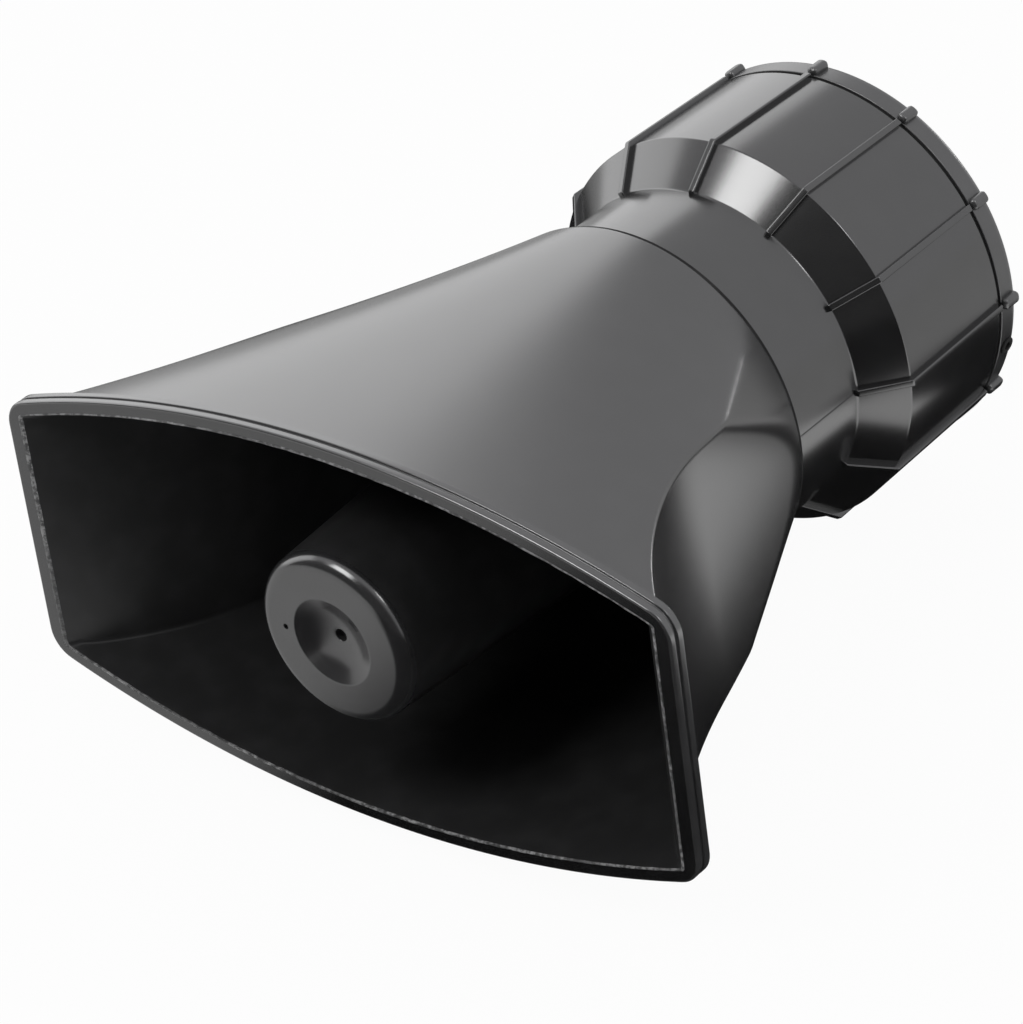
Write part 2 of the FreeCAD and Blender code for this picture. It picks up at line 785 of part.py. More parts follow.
add_webs(
    reflector_blank,
    "vane",
    [
        (size("tube_radius") - size("vane_stop"), y_vane_front),
        (cap_bore(y_vane_front) + vane_root, y_vane_front),
        (cap_bore(y_vane_end) + vane_root, y_vane_end),
        (size("tube_radius") + size("seat_fit"), y_vane_end),
        (size("tube_radius") + size("seat_fit"), y_tube_end - size("seat_fit")),
        (size("tube_radius") - size("vane_stop"), y_tube_end - size("seat_fit")),
    ],
    size("vane_width"),
    size("vane_count"),
    start=size("vane_angle"),
)
moulding_mark = doc.addObject("Part::Cylinder", "moulding_mark")
set_number(moulding_mark, "Radius", size("cap_mark_radius"))
set_number(moulding_mark, "Height", size("cap_mark_depth"))
set_place(moulding_mark, -size("cap_mark_set"), y_cap, ZERO, ALONG_Y)
reflector = cut("reflector", reflector_blank, [moulding_mark])

# Driver housing
housing_blank = turned(
    "housing_blank",
    [
        (spigot_bore, y_shoulder - size("spigot_length")),
        (spigot_radius, y_shoulder - size("spigot_length")),
        (spigot_radius, y_shoulder),
        (neck_radius, y_shoulder),
        (neck_radius, y_neck),
        (size("drum_radius"), y_drum_front),
        (drum_end_radius, y_drum_end),
        (drum_bore, y_drum_end),
        (drum_bore, y_drum_front + size("drum_wall") / 4),
        (plate_radius + size("cover_fit"), y_shelf),
        (shelf_bore, y_shelf),
        (shelf_bore, y_shelf_front),
        (neck_bore, y_shelf_front),
        (neck_bore, y_neck_wall),
        (tube_bore_in_wall, y_neck_wall),
        (tube_bore_in_wall, y_shoulder),
        (spigot_bore, y_shoulder),
    ],
)
cone_rise = size("drum_radius") - neck_radius
cone_slant = (cone_rise * cone_rise + size("cone_length") * size("cone_length")).root()
rib_bend = size("rib_height") * (cone_slant - size("cone_length")) / cone_rise
rib_foot = y_neck - size("rib_height") * cone_rise / cone_slant
add_webs(
    housing_blank,
    "rib",
    [
        (neck_radius - size("rib_root"), rib_foot),
        (neck_radius + size("rib_height") * size("cone_length") / cone_slant, rib_foot),
        (size("drum_radius") + size("rib_height"), y_drum_front - rib_bend),
        (drum_end_radius + size("rib_height"), y_drum_end),
        (drum_end_radius - size("rib_root"), y_drum_end),
        (size("drum_radius") - size("rib_root"), y_drum_front),
        (neck_radius - size("rib_root"), y_neck),
    ],
    size("rib_width"),
    size("rib_count"),
)
y_post_seat = y_band - size("cover_spigot_length") - size("seat_fit")
add_webs(
    housing_blank,
    "cover_post",
    [
        (post_inner, y_post_seat - size("cover_post_depth")),
        (drum_bore + size("seat_fit") * 8, y_post_seat - size("cover_post_depth")),
        (drum_bore + size("seat_fit") * 8, y_post_seat),
        (post_inner, y_post_seat),
    ],
    size("cover_post_half") * 2,
    size("screw_count"),
    start=size("screw_angle"),
)
y_bell_tip = y_bell_floor + size("bell_screw_length")
y_cover_seat = y_back - size("cover_head_sink")
y_cover_tip = y_cover_seat - size("cover_screw_length")
bell_posts = ring_of_pins(
    "bell_posts",
    bell_screw_circle,
    size("screw_angle"),
    size("bell_post_radius"),
    y_shoulder + size("neck_front_wall") / 2,
    y_neck_wall + size("bell_post_length"),
)
housing_drills = [
    mount_drill,
    ring_of_pins(
        "housing_bell_drill",
        bell_screw_circle,
        size("screw_angle"),
        screw_hole,
        y_seam,
        y_bell_tip + size("tip_room"),
    ),
    ring_of_pins(
        "housing_cover_drill",
        cover_screw_circle,
        size("screw_angle"),
        screw_hole,
        y_cover_tip - size("tip_room"),
        y_drum_end,
    ),
]
housing_with_posts = fuse("housing_with_posts", [housing_blank, bell_posts])
driver_housing = cut("driver_housing", housing_with_posts, housing_drills)

# Rear cover with its boss, and the brass insert that takes the bracket bolt
insert_floor = -(size("insert_length") + size("seat_fit"))
insert_pocket = size("insert_radius") + size("seat_fit")
boss_bottom = insert_floor - size("boss_core_floor")
pillar_outer = cover_spigot - size("cover_spigot_wall") / 2
cover_blank = turned(
    "cover_blank",
    [
        (cover_spigot_bore, y_band - size("cover_spigot_length")),
        (cover_spigot, y_band - size("cover_spigot_length")),
        (cover_spigot, y_band),
        (band_radius, y_band),
        (band_radius, y_back - size("cover_edge_radius"), size("cover_edge_radius"), TURN_LEFT),
        (band_radius - size("cover_edge_radius"), y_back),
        (size("boss_radius"), y_back),
        (size("boss_radius"), 0),
        (insert_pocket, 0),
        (insert_pocket, insert_floor),
        (0, insert_floor),
        (0, boss_bottom),
        (size("boss_core_radius"), boss_bottom),
        (size("boss_core_radius"), y_cover_inside),
        (cover_spigot_bore, y_cover_inside),
    ],
)
add_webs(
    cover_blank,
    "lug",
    [
        (band_radius - size("lug_root"), y_band),
        (band_radius + size("lug_stand"), y_band),
        (band_radius + size("lug_stand"), y_band + size("lug_length")),
        (band_radius - size("lug_root"), y_band + size("lug_length")),
    ],
    size("lug_width"),
    size("rib_count"),
)
add_webs(
    cover_blank,
    "cover_pillar",
    [
        (post_inner, y_band - size("cover_spigot_length")),
        (pillar_outer, y_band - size("cover_spigot_length")),
        (pillar_outer, y_back - size("cover_wall") / 2),
        (post_inner, y_back - size("cover_wall") / 2),
    ],
    size("cover_post_half") * 2,
    size("screw_count"),
    start=size("screw_angle"),
)


def spoke(name, radius, inner, outer, y, degrees):
    """A round pin that points out from the axis at an angle, between two radii."""
    pin = doc.addObject("Part::Cylinder", name)
    set_number(pin, "Radius", radius)
    set_number(pin, "Height", outer - inner)
    turn = math.radians(degrees.value)
    x, z = on_circle(inner, degrees)
    set_place(pin, x, y, z, Rotation(Vector(0, 0, 1), Vector(math.cos(turn), 0, math.sin(turn))))
    return pin


y_grommet = y_band + size("grommet_set")
grommet_angle = size("grommet_angle")
flange_stand = size("grommet_flange_stand")
cover_drills = [
    ring_of_pins(
        "cover_head_drill", cover_screw_circle, size("screw_angle"), head_hole, y_cover_seat, y_mount
    ),
    ring_of_pins(
        "cover_drill",
        cover_screw_circle,
        size("screw_angle"),
        screw_hole,
        y_drum_end - size("cover_spigot_length") - size("slot_depth"),
        y_back,
    ),
    spoke(
        "grommet_hole",
        size("grommet_neck_radius") + size("seat_fit"),
        cover_spigot_bore - flange_stand * 2,
        band_radius + flange_stand,
        y_grommet,
        grommet_angle,
    ),
    spoke(
        "grommet_room",
        size("grommet_flange_radius") + size("seat_fit") * 2,
        cover_spigot_bore - flange_stand * 3,
        cover_spigot_bore + size("seat_fit"),
        y_grommet,
        grommet_angle,
    ),
]
rear_cover = cut("rear_cover", cover_blank, cover_drills)
grommet_blank = fuse(
    "grommet_blank",
    [
        spoke(
            "grommet_neck",
            size("grommet_neck_radius"),
            cover_spigot_bore - flange_stand,
            band_radius + flange_stand,
            y_grommet,
            grommet_angle,
        ),
        spoke(
            "grommet_outer_flange",
            size("grommet_flange_radius"),
            band_radius,
            band_radius + flange_stand,
            y_grommet,
            grommet_angle,
        ),
        spoke(
            "grommet_inner_flange",
            size("grommet_flange_radius"),
            cover_spigot_bore - flange_stand,
            cover_spigot_bore,
            y_grommet,
            grommet_angle,
        ),
    ],
)
cable_grommet = cut(
    "cable_grommet",
    grommet_blank,
    [
        spoke(
            "grommet_bore",
            size("grommet_bore_radius"),
            cover_spigot_bore - flange_stand * 2,
            band_radius + flange_stand * 2,
            y_grommet,
            grommet_angle,
        )
    ],
)
cover_gasket = turned(
    "cover_gasket",
    [
        (cover_spigot + size("seat_fit") * 2, y_drum_end),
        (band_radius - size("seal_set") * 1.5, y_drum_end),
        (band_radius - size("seal_set") * 1.5, y_band),
        (cover_spigot + size("seat_fit") * 2, y_band),
    ],
)
bracket_insert = turned(
    "bracket_insert",
    [
        (size("insert_bore_radius"), -size("insert_length")),
        (size("insert_radius"), -size("insert_length")),
        (size("insert_radius"), 0),
        (size("insert_bore_radius"), 0),
    ],
)

# Compression driver: front plate, phase plug and the sprung diaphragm
y_dome_apex = y_diaphragm - size("dome_height")
y_plug_rear = y_dome_apex - size("dome_gap")
y_plug_front = y_plug_rear - size("plug_thickness")
plug_seat = plug_radius + size("plug_fit")
y_plate_rebate = y_diaphragm - size("surround_room")
plate_blank = turned(
    "plate_blank",
    [
        (size("throat_entry_radius"), y_shelf_front),
        (size("snout_radius"), y_shelf_front),
        (size("snout_radius"), y_shelf),
        (plate_radius, y_shelf),
        (plate_radius, y_diaphragm),
        (surround_radius, y_diaphragm),
        (surround_radius, y_plate_rebate),
        (plug_seat, y_plate_rebate),
        (plug_seat, y_plug_front),
        (plug_radius - size("plug_ledge"), y_plug_front),
    ],
)
y_clamp_seat = y_shelf + size("clamp_head_sink")
y_clamp_tip = y_clamp_seat + size("clamp_screw_length")
clamp_drill = ring_of_pins(
    "clamp_drill",
    clamp_screw_circle,
    size("clamp_angle"),
    screw_hole,
    y_clamp_seat,
    y_clamp_tip + size("tip_room"),
)
clamp_head_drill = ring_of_pins(
    "clamp_head_drill", clamp_screw_circle, size("clamp_angle"), head_hole, y_shelf_front, y_clamp_seat
)
driver_front_plate = cut("driver_front_plate", plate_blank, [mount_drill, clamp_drill, clamp_head_drill])

plug_sphere = dome_sphere + size("dome_gap")
phase_plug = turned(
    "phase_plug",
    [
        (0, y_plug_front),
        (plug_radius, y_plug_front),
        (plug_radius, y_dome_centre - leg(plug_sphere, plug_radius), plug_sphere, TURN_RIGHT),
        (0, y_plug_rear),
    ],
)
cut_slots(
    phase_plug,
    "plug_slot",
    [
        (size("plug_slot_inner"), y_plug_front - size("plug_thickness")),
        ((plug_radius - size("plug_slot_set")), y_plug_front - size("plug_thickness")),
        ((plug_radius - size("plug_slot_set")), y_diaphragm),
        (size("plug_slot_inner"), y_diaphragm),
    ],
    size("plug_slot_width"),
    size("plug_slot_count"),
)
inner_sphere = dome_sphere - size("dome_skin")
diaphragm_dome = turned(
    "diaphragm_dome",
    [
        (0, y_dome_apex, dome_sphere, TURN_LEFT),
        (dome_radius, y_diaphragm),
        (dome_rim_radius, y_diaphragm),
        (dome_rim_radius, y_rim_rear),
        (leg(inner_sphere, y_dome_centre - y_rim_rear), y_rim_rear, inner_sphere, TURN_RIGHT),
        (0, y_dome_apex + size("dome_skin")),
    ],
)
coil_former = turned(
    "coil_former",
    [
        (dome_radius, y_rim_rear),
        (dome_radius + size("former_wall"), y_rim_rear),
        (dome_radius + size("former_wall"), y_rim_rear + size("former_length")),
        (dome_radius, y_rim_rear + size("former_length")),
    ],
)
y_coil_middle = y_top_plate + size("top_plate_thickness") / 2
voice_coil = turned(
    "voice_coil",
    [
        (coil_bore, y_coil_middle - size("coil_length") / 2),
        (coil_radius, y_coil_middle - size("coil_length") / 2),
        (coil_radius, y_coil_middle + size("coil_length") / 2),
        (coil_bore, y_coil_middle + size("coil_length") / 2),
    ],
)
roll_start = dome_rim_radius + size("surround_edge")
roll_end = surround_radius - size("surround_edge")
surround_inner = dome_rim_radius + size("seat_fit") * 3
roll_front = size("surround_roll_radius") - size("dome_skin")
diaphragm_surround = turned(
    "diaphragm_surround",
    [
        (surround_inner, y_diaphragm),
        (roll_start + size("dome_skin"), y_diaphragm, roll_front, TURN_RIGHT),
        (roll_end - size("dome_skin"), y_diaphragm),
        (surround_outer, y_diaphragm),
        (surround_outer, y_rim_rear),
        (roll_end, y_rim_rear, size("surround_roll_radius"), TURN_LEFT),
        (roll_start, y_rim_rear),
        (surround_inner, y_rim_rear),
    ],
)
clamp_blank = turned(
    "clamp_blank",
    [
        (surround_outer + size("seat_fit"), y_diaphragm),
        (clamp_radius, y_diaphragm),
        (clamp_radius, y_top_plate),
        (surround_radius + size("seat_fit"), y_top_plate),
        (surround_radius + size("seat_fit"), y_rim_rear),
        (surround_outer + size("seat_fit"), y_rim_rear),
    ],
)
clamp_ring = cut("clamp_ring", clamp_blank, [clamp_drill])

# Magnet system
top_plate_blank = turned(
    "top_plate_blank",
    [
        (gap_radius, y_top_plate),
        (clamp_radius, y_top_plate),
        (clamp_radius, y_magnet),
        (gap_radius, y_magnet),
    ],
)
top_plate = cut("top_plate", top_plate_blank, [clamp_drill])
magnet_ring = turned(
    "magnet_ring",
    [
        (magnet_bore, y_magnet),
        (magnet_radius, y_magnet),
        (magnet_radius, y_back_plate),
        (magnet_bore, y_back_plate),
    ],
)
back_plate_blank = turned(
    "back_plate_blank",
    [
        (size("pole_vent"), y_top_plate),
        (pole_radius, y_top_plate),
        (pole_radius, y_back_plate),
        (back_plate_radius, y_back_plate),
        (back_plate_radius, y_driver_end),
        (size("pole_vent"), y_driver_end),
    ],
)
magnet_pad = turned(
    "magnet_pad",
    [
        (size("boss_core_radius") + size("cover_fit"), y_driver_end),
        (pad_radius, y_driver_end),
        (pad_radius, y_cover_inside),
        (size("boss_core_radius") + size("cover_fit"), y_cover_inside),
    ],
)


# Terminal board on the back plate, with its two solder lugs
def block(name, x, y, z, length, width, height):
    """A box with its low corner at a place."""
    box = doc.addObject("Part::Box", name)
    set_number(box, "Length", length)
    set_number(box, "Width", width)
    set_number(box, "Height", height)
    set_place(box, x, y, z, Rotation())
    return box


def upright_pin(name, x, z, radius, front, back):
    """A round pin along the horn's axis at a place."""
    pin = doc.addObject("Part::Cylinder", name)
    set_number(pin, "Radius", radius)
    set_number(pin, "Height", back - front)
    set_place(pin, x, front, z, ALONG_Y)
    return pin


board_middle = board_set + board_length / 2
y_tab_end = y_board_end + size("lug_tab_thickness")
tab_reach = board_set + (board_length - size("lug_tab_length")) / 2
y_rivet_end = y_tab_end + size("rivet_head")
rivet_radius = size("rivet_radius")
rivet_hole = rivet_radius + size("seat_fit")
rivet_head_radius = size("lug_tab_width") / 2
tabs, tab_holes, rivets = [], [], []
for side in (-1, 1):
    z_tab = size("lug_tab_pitch") * side / 2
    tag = "low" if side < 0 else "high"
    tabs.append(
        block(
            f"tab_{tag}",
            tab_reach,
            y_board_end,
            z_tab - size("lug_tab_width") / 2,
            size("lug_tab_length"),
            size("lug_tab_thickness"),
            size("lug_tab_width"),
        )
    )
    tab_holes.append(upright_pin(f"tab_hole_{tag}", board_middle, z_tab, rivet_hole, y_driver_end, y_tab_end))
    shank = upright_pin(f"rivet_shank_{tag}", board_middle, z_tab, rivet_radius, y_driver_end, y_tab_end)
    head = upright_pin(
        f"rivet_head_{tag}", board_middle, z_tab, rivet_head_radius, y_tab_end, y_rivet_end
    )
    rivets.append(fuse(f"rivet_{tag}", [shank, head]))
board_hole = upright_pin(
    "board_hole",
    board_middle,
    ZERO,
    rivet_hole,
    y_driver_end - size("board_thickness") * 2,
    y_board_end,
)
board_blank = block(
    "board_blank",
    board_set,
    y_driver_end,
    size("board_width") / -2,
    board_length,
    size("board_thickness"),
    size("board_width"),
)
terminal_board = cut("terminal_board", board_blank, tab_holes + [board_hole])
tab_pair = doc.addObject("Part::Compound", "tab_pair")
tab_pair.Links = tabs
terminal_lugs = cut("terminal_lugs", tab_pair, tab_holes)
terminal_rivets = doc.addObject("Part::Compound", "terminal_rivets")
terminal_rivets.Links = rivets
board_screw = fuse(
    "board_screw",
    [
        upright_pin(
            "board_screw_shank",
            board_middle,
            ZERO,
            rivet_radius,
            y_driver_end - size("board_thickness") * 1.5,
            y_board_end,
        ),
        upright_pin(
            "board_screw_head",
            board_middle,
            ZERO,
            rivet_head_radius,
            y_board_end,
            y_board_end + size("lug_tab_thickness") * 2,
        ),
    ],
)
back_plate = cut("back_plate", back_plate_blank, [board_hole])

# Screws
bell_screws = screws(
    "bell_screws", bell_screw_circle, size("screw_angle"), y_bell_floor, size("bell_screw_length"), -1
)
driver_mount_screws = screws(
    "driver_mount_screws",
    size("mount_screw_circle"),
    size("screw_angle"),
    y_tube_flange,
    size("mount_screw_length"),
    -1,
)
clamp_screws = screws(
    "clamp_screws", clamp_screw_circle, size("clamp_angle"), y_clamp_seat, size("clamp_screw_length"), -1
)
cover_screws = screws(
    "cover_screws", cover_screw_circle, size("screw_angle"), y_cover_seat, size("cover_screw_length"), 1
)

nodes = [
    bell,
    bell_seal,
    reflector,
    throat_tube,
    throat_seal,
    driver_housing,
    rear_cover,
    cover_gasket,
    cable_grommet,
    bracket_insert,
    driver_front_plate,
    phase_plug,
    diaphragm_dome,
    coil_former,
    voice_coil,
    diaphragm_surround,
    clamp_ring,
    top_plate,
    magnet_ring,
    back_plate,
    magnet_pad,
    terminal_board,
    terminal_lugs,
    terminal_rivets,
    board_screw,
    bell_screws,
    driver_mount_screws,
    clamp_screws,
    cover_screws,
]

doc.recompute()
for item in doc.Objects:
    faults = [state for state in item.State if state in ("Invalid", "Error")]
    if faults:
        raise RuntimeError(f"{item.Label} is {faults}")
for node in nodes:
    if node.Shape.isNull() or not node.Shape.isValid():
        raise RuntimeError(f"{node.Label} has no valid shape")

os.makedirs("parts", exist_ok=True)
for node in nodes:
    node.Shape.exportStep(f"parts/{node.Label}.step")
    print(node.Label, len(node.Shape.Solids), round(node.Shape.Volume, 1))
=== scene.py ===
"""Looks of a compact horn loudspeaker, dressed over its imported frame.

Sizes are in millimetres in the part's own frame: the mouth faces -Y, +Z is up, and the horn's axis
is the Y axis. They become metres where a mesh is made.
"""

from __future__ import annotations

import logging
import math
import random
from dataclasses import dataclass
from enum import Enum
from functools import partial
from typing import Callable, Mapping, Sequence

import bmesh
import bpy
from mathutils import Matrix, Vector

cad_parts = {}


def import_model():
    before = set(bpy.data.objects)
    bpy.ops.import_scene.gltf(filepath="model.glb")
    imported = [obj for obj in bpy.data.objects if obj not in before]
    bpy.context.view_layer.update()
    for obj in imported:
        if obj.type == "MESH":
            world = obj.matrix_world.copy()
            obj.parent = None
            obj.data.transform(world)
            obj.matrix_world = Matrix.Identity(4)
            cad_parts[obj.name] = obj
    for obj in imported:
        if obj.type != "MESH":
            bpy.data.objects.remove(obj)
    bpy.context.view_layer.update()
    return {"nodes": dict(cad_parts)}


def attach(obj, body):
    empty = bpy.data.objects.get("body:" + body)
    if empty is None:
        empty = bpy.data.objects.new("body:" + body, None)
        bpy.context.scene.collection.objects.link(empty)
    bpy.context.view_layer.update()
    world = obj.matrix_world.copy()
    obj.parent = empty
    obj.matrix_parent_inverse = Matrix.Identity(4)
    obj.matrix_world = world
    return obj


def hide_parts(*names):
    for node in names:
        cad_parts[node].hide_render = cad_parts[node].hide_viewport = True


LOG = logging.getLogger("horn_loudspeaker")
HOUSING = "housing"

# a millimetre in metres, and the distance in metres at which two points are one
MM = 0.001
TOUCHING = 1e-6

# how finely arcs, arcs under a millimetre, pins and rounded edges are drawn
ARC_STEPS = 10
SMALL_ARC = 1.0
SMALL_ARC_STEPS = 4
PIN_STEPS = 48
BEVEL_STEPS = 3

# how often a search halves its range
HALVINGS = 36

Pair = tuple[float, float]
Triple = tuple[float, float, float]
Colour = Triple
Corner = tuple[float, ...]

WHITE: Colour = (1.0, 1.0, 1.0)


class Wire:
    """A shader value that takes Python arithmetic and becomes Math nodes."""

    def __init__(self, graph: Graph, socket: bpy.types.NodeSocket) -> None:
        """Hold a socket of a graph.

        Args:
            graph: the graph that the socket's node is in.
            socket: the output socket.
        """
        self.graph = graph
        self.socket = socket

    def _math(self, operation: str, *terms: Term) -> Wire:
        """A Math node on these terms."""
        return self.graph.node("ShaderNodeMath", {"operation": operation}, dict(enumerate(terms)))

    def __add__(self, other: Term) -> Wire:
        """The sum."""
        return self._math("ADD", self, other)

    def __radd__(self, other: Term) -> Wire:
        """The sum, with a number on the left."""
        return self._math("ADD", other, self)

    def __sub__(self, other: Term) -> Wire:
        """The difference."""
        return self._math("SUBTRACT", self, other)

    def __rsub__(self, other: Term) -> Wire:
        """The difference, with a number on the left."""
        return self._math("SUBTRACT", other, self)

    def __mul__(self, other: Term) -> Wire:
        """The product."""
        return self._math("MULTIPLY", self, other)

    def __rmul__(self, other: Term) -> Wire:
        """The product, with a number on the left."""
        return self._math("MULTIPLY", other, self)

    def __pow__(self, other: Term) -> Wire:
        """The power."""
        return self._math("POWER", self, other)

    def sine(self) -> Wire:
        """The sine."""
        return self._math("SINE", self)

    def wave(self) -> Wire:
        """The sine, brought between 0 and 1."""
        return self.sine() * 0.5 + 0.5

    def larger(self, other: Term) -> Wire:
        """The larger of the two."""
        return self._math("MAXIMUM", self, other)

    def ramp(self, low: float, high: float) -> Wire:
        """A smooth step from 0 at low to 1 at high.

        Args:
            low: the value that gives 0.
            high: the value that gives 1.

        Returns:
            The stepped value.
        """
        settings = {"interpolation_type": "SMOOTHSTEP"}
        values = {"Value": self, "From Min": low, "From Max": high}
        return self.graph.node("ShaderNodeMapRange", settings, values)


Term = Wire | float
Values = Mapping[int | str, object]


class Graph:
    """A node tree, with one way to add any node."""

    def __init__(self, tree: bpy.types.NodeTree) -> None:
        """Take a tree and clear it."""
        self.tree = tree
        tree.nodes.clear()

    def node(
        self,
        kind: str,
        settings: Mapping[str, object] | None = None,
        values: Values | None = None,
        out: int | str = 0,
    ) -> Wire:
        """Add a node.

        Args:
            kind: the node's type.
            settings: its properties, which are set first.
            values: a number, colour or Wire for each input socket, by name or index.
            out: the output socket to hand back, by name or index.

        Returns:
            The node's output.
        """
        node = self.tree.nodes.new(kind)
        for name, value in (settings or {}).items():
            setattr(node, name, value)
        for name, value in (values or {}).items():
            socket = node.inputs[name]
            if isinstance(value, Wire):
                self.tree.links.new(value.socket, socket)
            elif socket.type == "RGBA":
                socket.default_value = (*value, 1.0)
            else:
                socket.default_value = value
        return Wire(self, node.outputs[out])

    def end(self, kind: str, shader: Wire) -> None:
        """Add the tree's output node and link a shader to its surface."""
        output = self.tree.nodes.new(kind)
        self.tree.links.new(shader.socket, output.inputs["Surface"])

    def place(self) -> Wire:
        """The point on the object, in metres of the part's frame."""
        return self.node("ShaderNodeTexCoord", out="Object")

    def axis(self, index: int) -> Wire:
        """The point's x, y or z."""
        return self.node("ShaderNodeSeparateXYZ", None, {0: self.place()}, index)

    def ray(self, name: str) -> Wire:
        """1 for one kind of ray, and 0 for others."""
        return self.node("ShaderNodeLightPath", out=name)

    def noise(
        self,
        size: float,
        detail: float = 2.0,
        rough: float = 0.5,
        stretch: Triple = (1.0, 1.0, 1.0),
    ) -> Wire:
        """Noise from 0 to 1.

        Args:
            size: the width of its patches, in millimetres.
            detail: how many finer layers it has.
            rough: how strong the finer layers are.
            stretch: a factor on the pattern's x, y and z.

        Returns:
            The noise value.
        """
        spot = self.node("ShaderNodeMapping", None, {"Vector": self.place(), "Scale": stretch})
        values = {"Vector": spot, "Scale": 1 / (size * MM), "Detail": detail, "Roughness": rough}
        return self.node("ShaderNodeTexNoise", None, values)

    def blend(self, factor: Term, first: object, second: object) -> Wire:
        """A colour between two colours.

        Args:
            factor: 0 for the first and 1 for the second.
            first: a colour or Wire.
            second: a colour or Wire.

        Returns:
            The mixed colour.
        """
        factor_in, first_in, second_in, colour_out = 0, 6, 7, 2
        values = {factor_in: factor, first_in: first, second_in: second}
        return self.node("ShaderNodeMix", {"data_type": "RGBA"}, values, colour_out)

    def bump(self, height: Wire, depth: float) -> Wire:
        """A normal raised by a height map.

        Args:
            height: the map, from 0 to 1.
            depth: the height at 1, in millimetres.

        Returns:
            The bumped normal.
        """
        return self.node("ShaderNodeBump", None, {"Height": height, "Distance": depth * MM})


@dataclass(frozen=True)
class Finish:
    """A surface finish, known by its name."""

    name: str

    def values(self, graph: Graph) -> Values:
        """The values of the principled shader, which each kind of finish gives."""
        raise NotImplementedError

    def make(self) -> bpy.types.Material:
        """Build the material.

        Returns:
            The new material.
        """
        material = bpy.data.materials.new(self.name)
        material.use_nodes = True
        graph = Graph(material.node_tree)
        shader = graph.node("ShaderNodeBsdfPrincipled", None, self.values(graph))
        graph.end("ShaderNodeOutputMaterial", shader)
        return material


class Grain(Enum):
    """How deep a moulded surface's fine grain is, in millimetres."""

    POLISHED = 0.001
    SATIN = 0.002
    SPARKED = 0.012


@dataclass(frozen=True)
class Moulded(Finish):
    """Black moulded plastic with the haze and fine marks of handling."""

    colour: Colour
    roughness: float
    grain: Grain = Grain.POLISHED
    specular: float = 0.95
    index: float = 1.85
    haze_width: float = 26.0
    haze_change: float = 0.03
    patch_width: float = 7.0
    patch_span: Pair = (0.35, 0.8)
    paler: float = 1.3
    stroke_width: float = 1.6
    stroke_span: Pair = (0.5, 0.8)
    stroke_shape: Triple = (1.0, 0.12, 1.0)
    stroke_change: float = 0.015
    grain_width: float = 0.45

    def values(self, graph: Graph) -> Values:
        """Work out the values of the principled shader.

        Args:
            graph: the material's node tree.

        Returns:
            The value or Wire of each input.
        """
        haze = self.haze_change * (graph.noise(self.haze_width, 3.0) - 0.5)
        patches = graph.noise(self.patch_width).ramp(*self.patch_span)
        strokes = graph.noise(self.stroke_width, 2.0, 0.6, self.stroke_shape).ramp(*self.stroke_span)
        lighter = tuple(self.paler * channel + 0.002 for channel in self.colour)
        return {
            "Base Color": graph.blend(patches, self.colour, lighter),
            "Roughness": self.roughness + haze + self.stroke_change * strokes,
            "IOR": self.index,
            "Specular IOR Level": self.specular,
            "Normal": graph.bump(graph.noise(self.grain_width, 1.0), self.grain.value),
        }


@dataclass(frozen=True)
class FlashedLip(Finish):
    """The mouth's inner lip, with pale bits of torn moulding flash along it."""

    colour: Colour
    flash: Colour
    roughness: float
    tear_width: float = 1.3
    tear_span: Pair = (0.42, 0.6)
    run_width: float = 14.0
    run_span: Pair = (0.36, 0.58)
    least: float = 0.35
    rougher: float = 0.25
    grit_width: float = 0.7
    grit_depth: float = 0.05

    def values(self, graph: Graph) -> Values:
        """Work out the values of the principled shader.

        Args:
            graph: the material's node tree.

        Returns:
            The value or Wire of each input.
        """
        torn = graph.noise(self.tear_width, 4.0, 0.7).ramp(*self.tear_span)
        runs = graph.noise(self.run_width, 1.0).ramp(*self.run_span)
        flash = torn * (self.least + (1 - self.least) * runs)
        return {
            "Base Color": graph.blend(flash, self.colour, self.flash),
            "Roughness": self.roughness + self.rougher * flash,
            "Normal": graph.bump(graph.noise(self.grit_width, 3.0), self.grit_depth),
        }


@dataclass(frozen=True)
class Rubber(Finish):
    """Soft rubber or foam: matt, with a fine open surface."""

    colour: Colour
    pore: float = 0.4
    depth: float = 0.02
    bloom_width: float = 9.0
    bloom_span: Pair = (0.45, 0.75)
    paler: float = 0.02
    roughness: float = 0.72
    rougher: float = 0.16
    specular: float = 0.35

    def values(self, graph: Graph) -> Values:
        """Work out the values of the principled shader.

        Args:
            graph: the material's node tree.

        Returns:
            The value or Wire of each input.
        """
        pores = graph.noise(self.pore, 3.0)
        bloom = graph.noise(self.bloom_width).ramp(*self.bloom_span)
        pale = tuple(channel + self.paler for channel in self.colour)
        return {
            "Base Color": graph.blend(bloom, self.colour, pale),
            "Roughness": self.roughness + self.rougher * pores,
            "Specular IOR Level": self.specular,
            "Normal": graph.bump(pores, self.depth),
        }


class Lay(Enum):
    """The direction in which the marks of a tool run."""

    TURNED = "turned"
    CAST = "cast"
    KNURLED = "knurled"


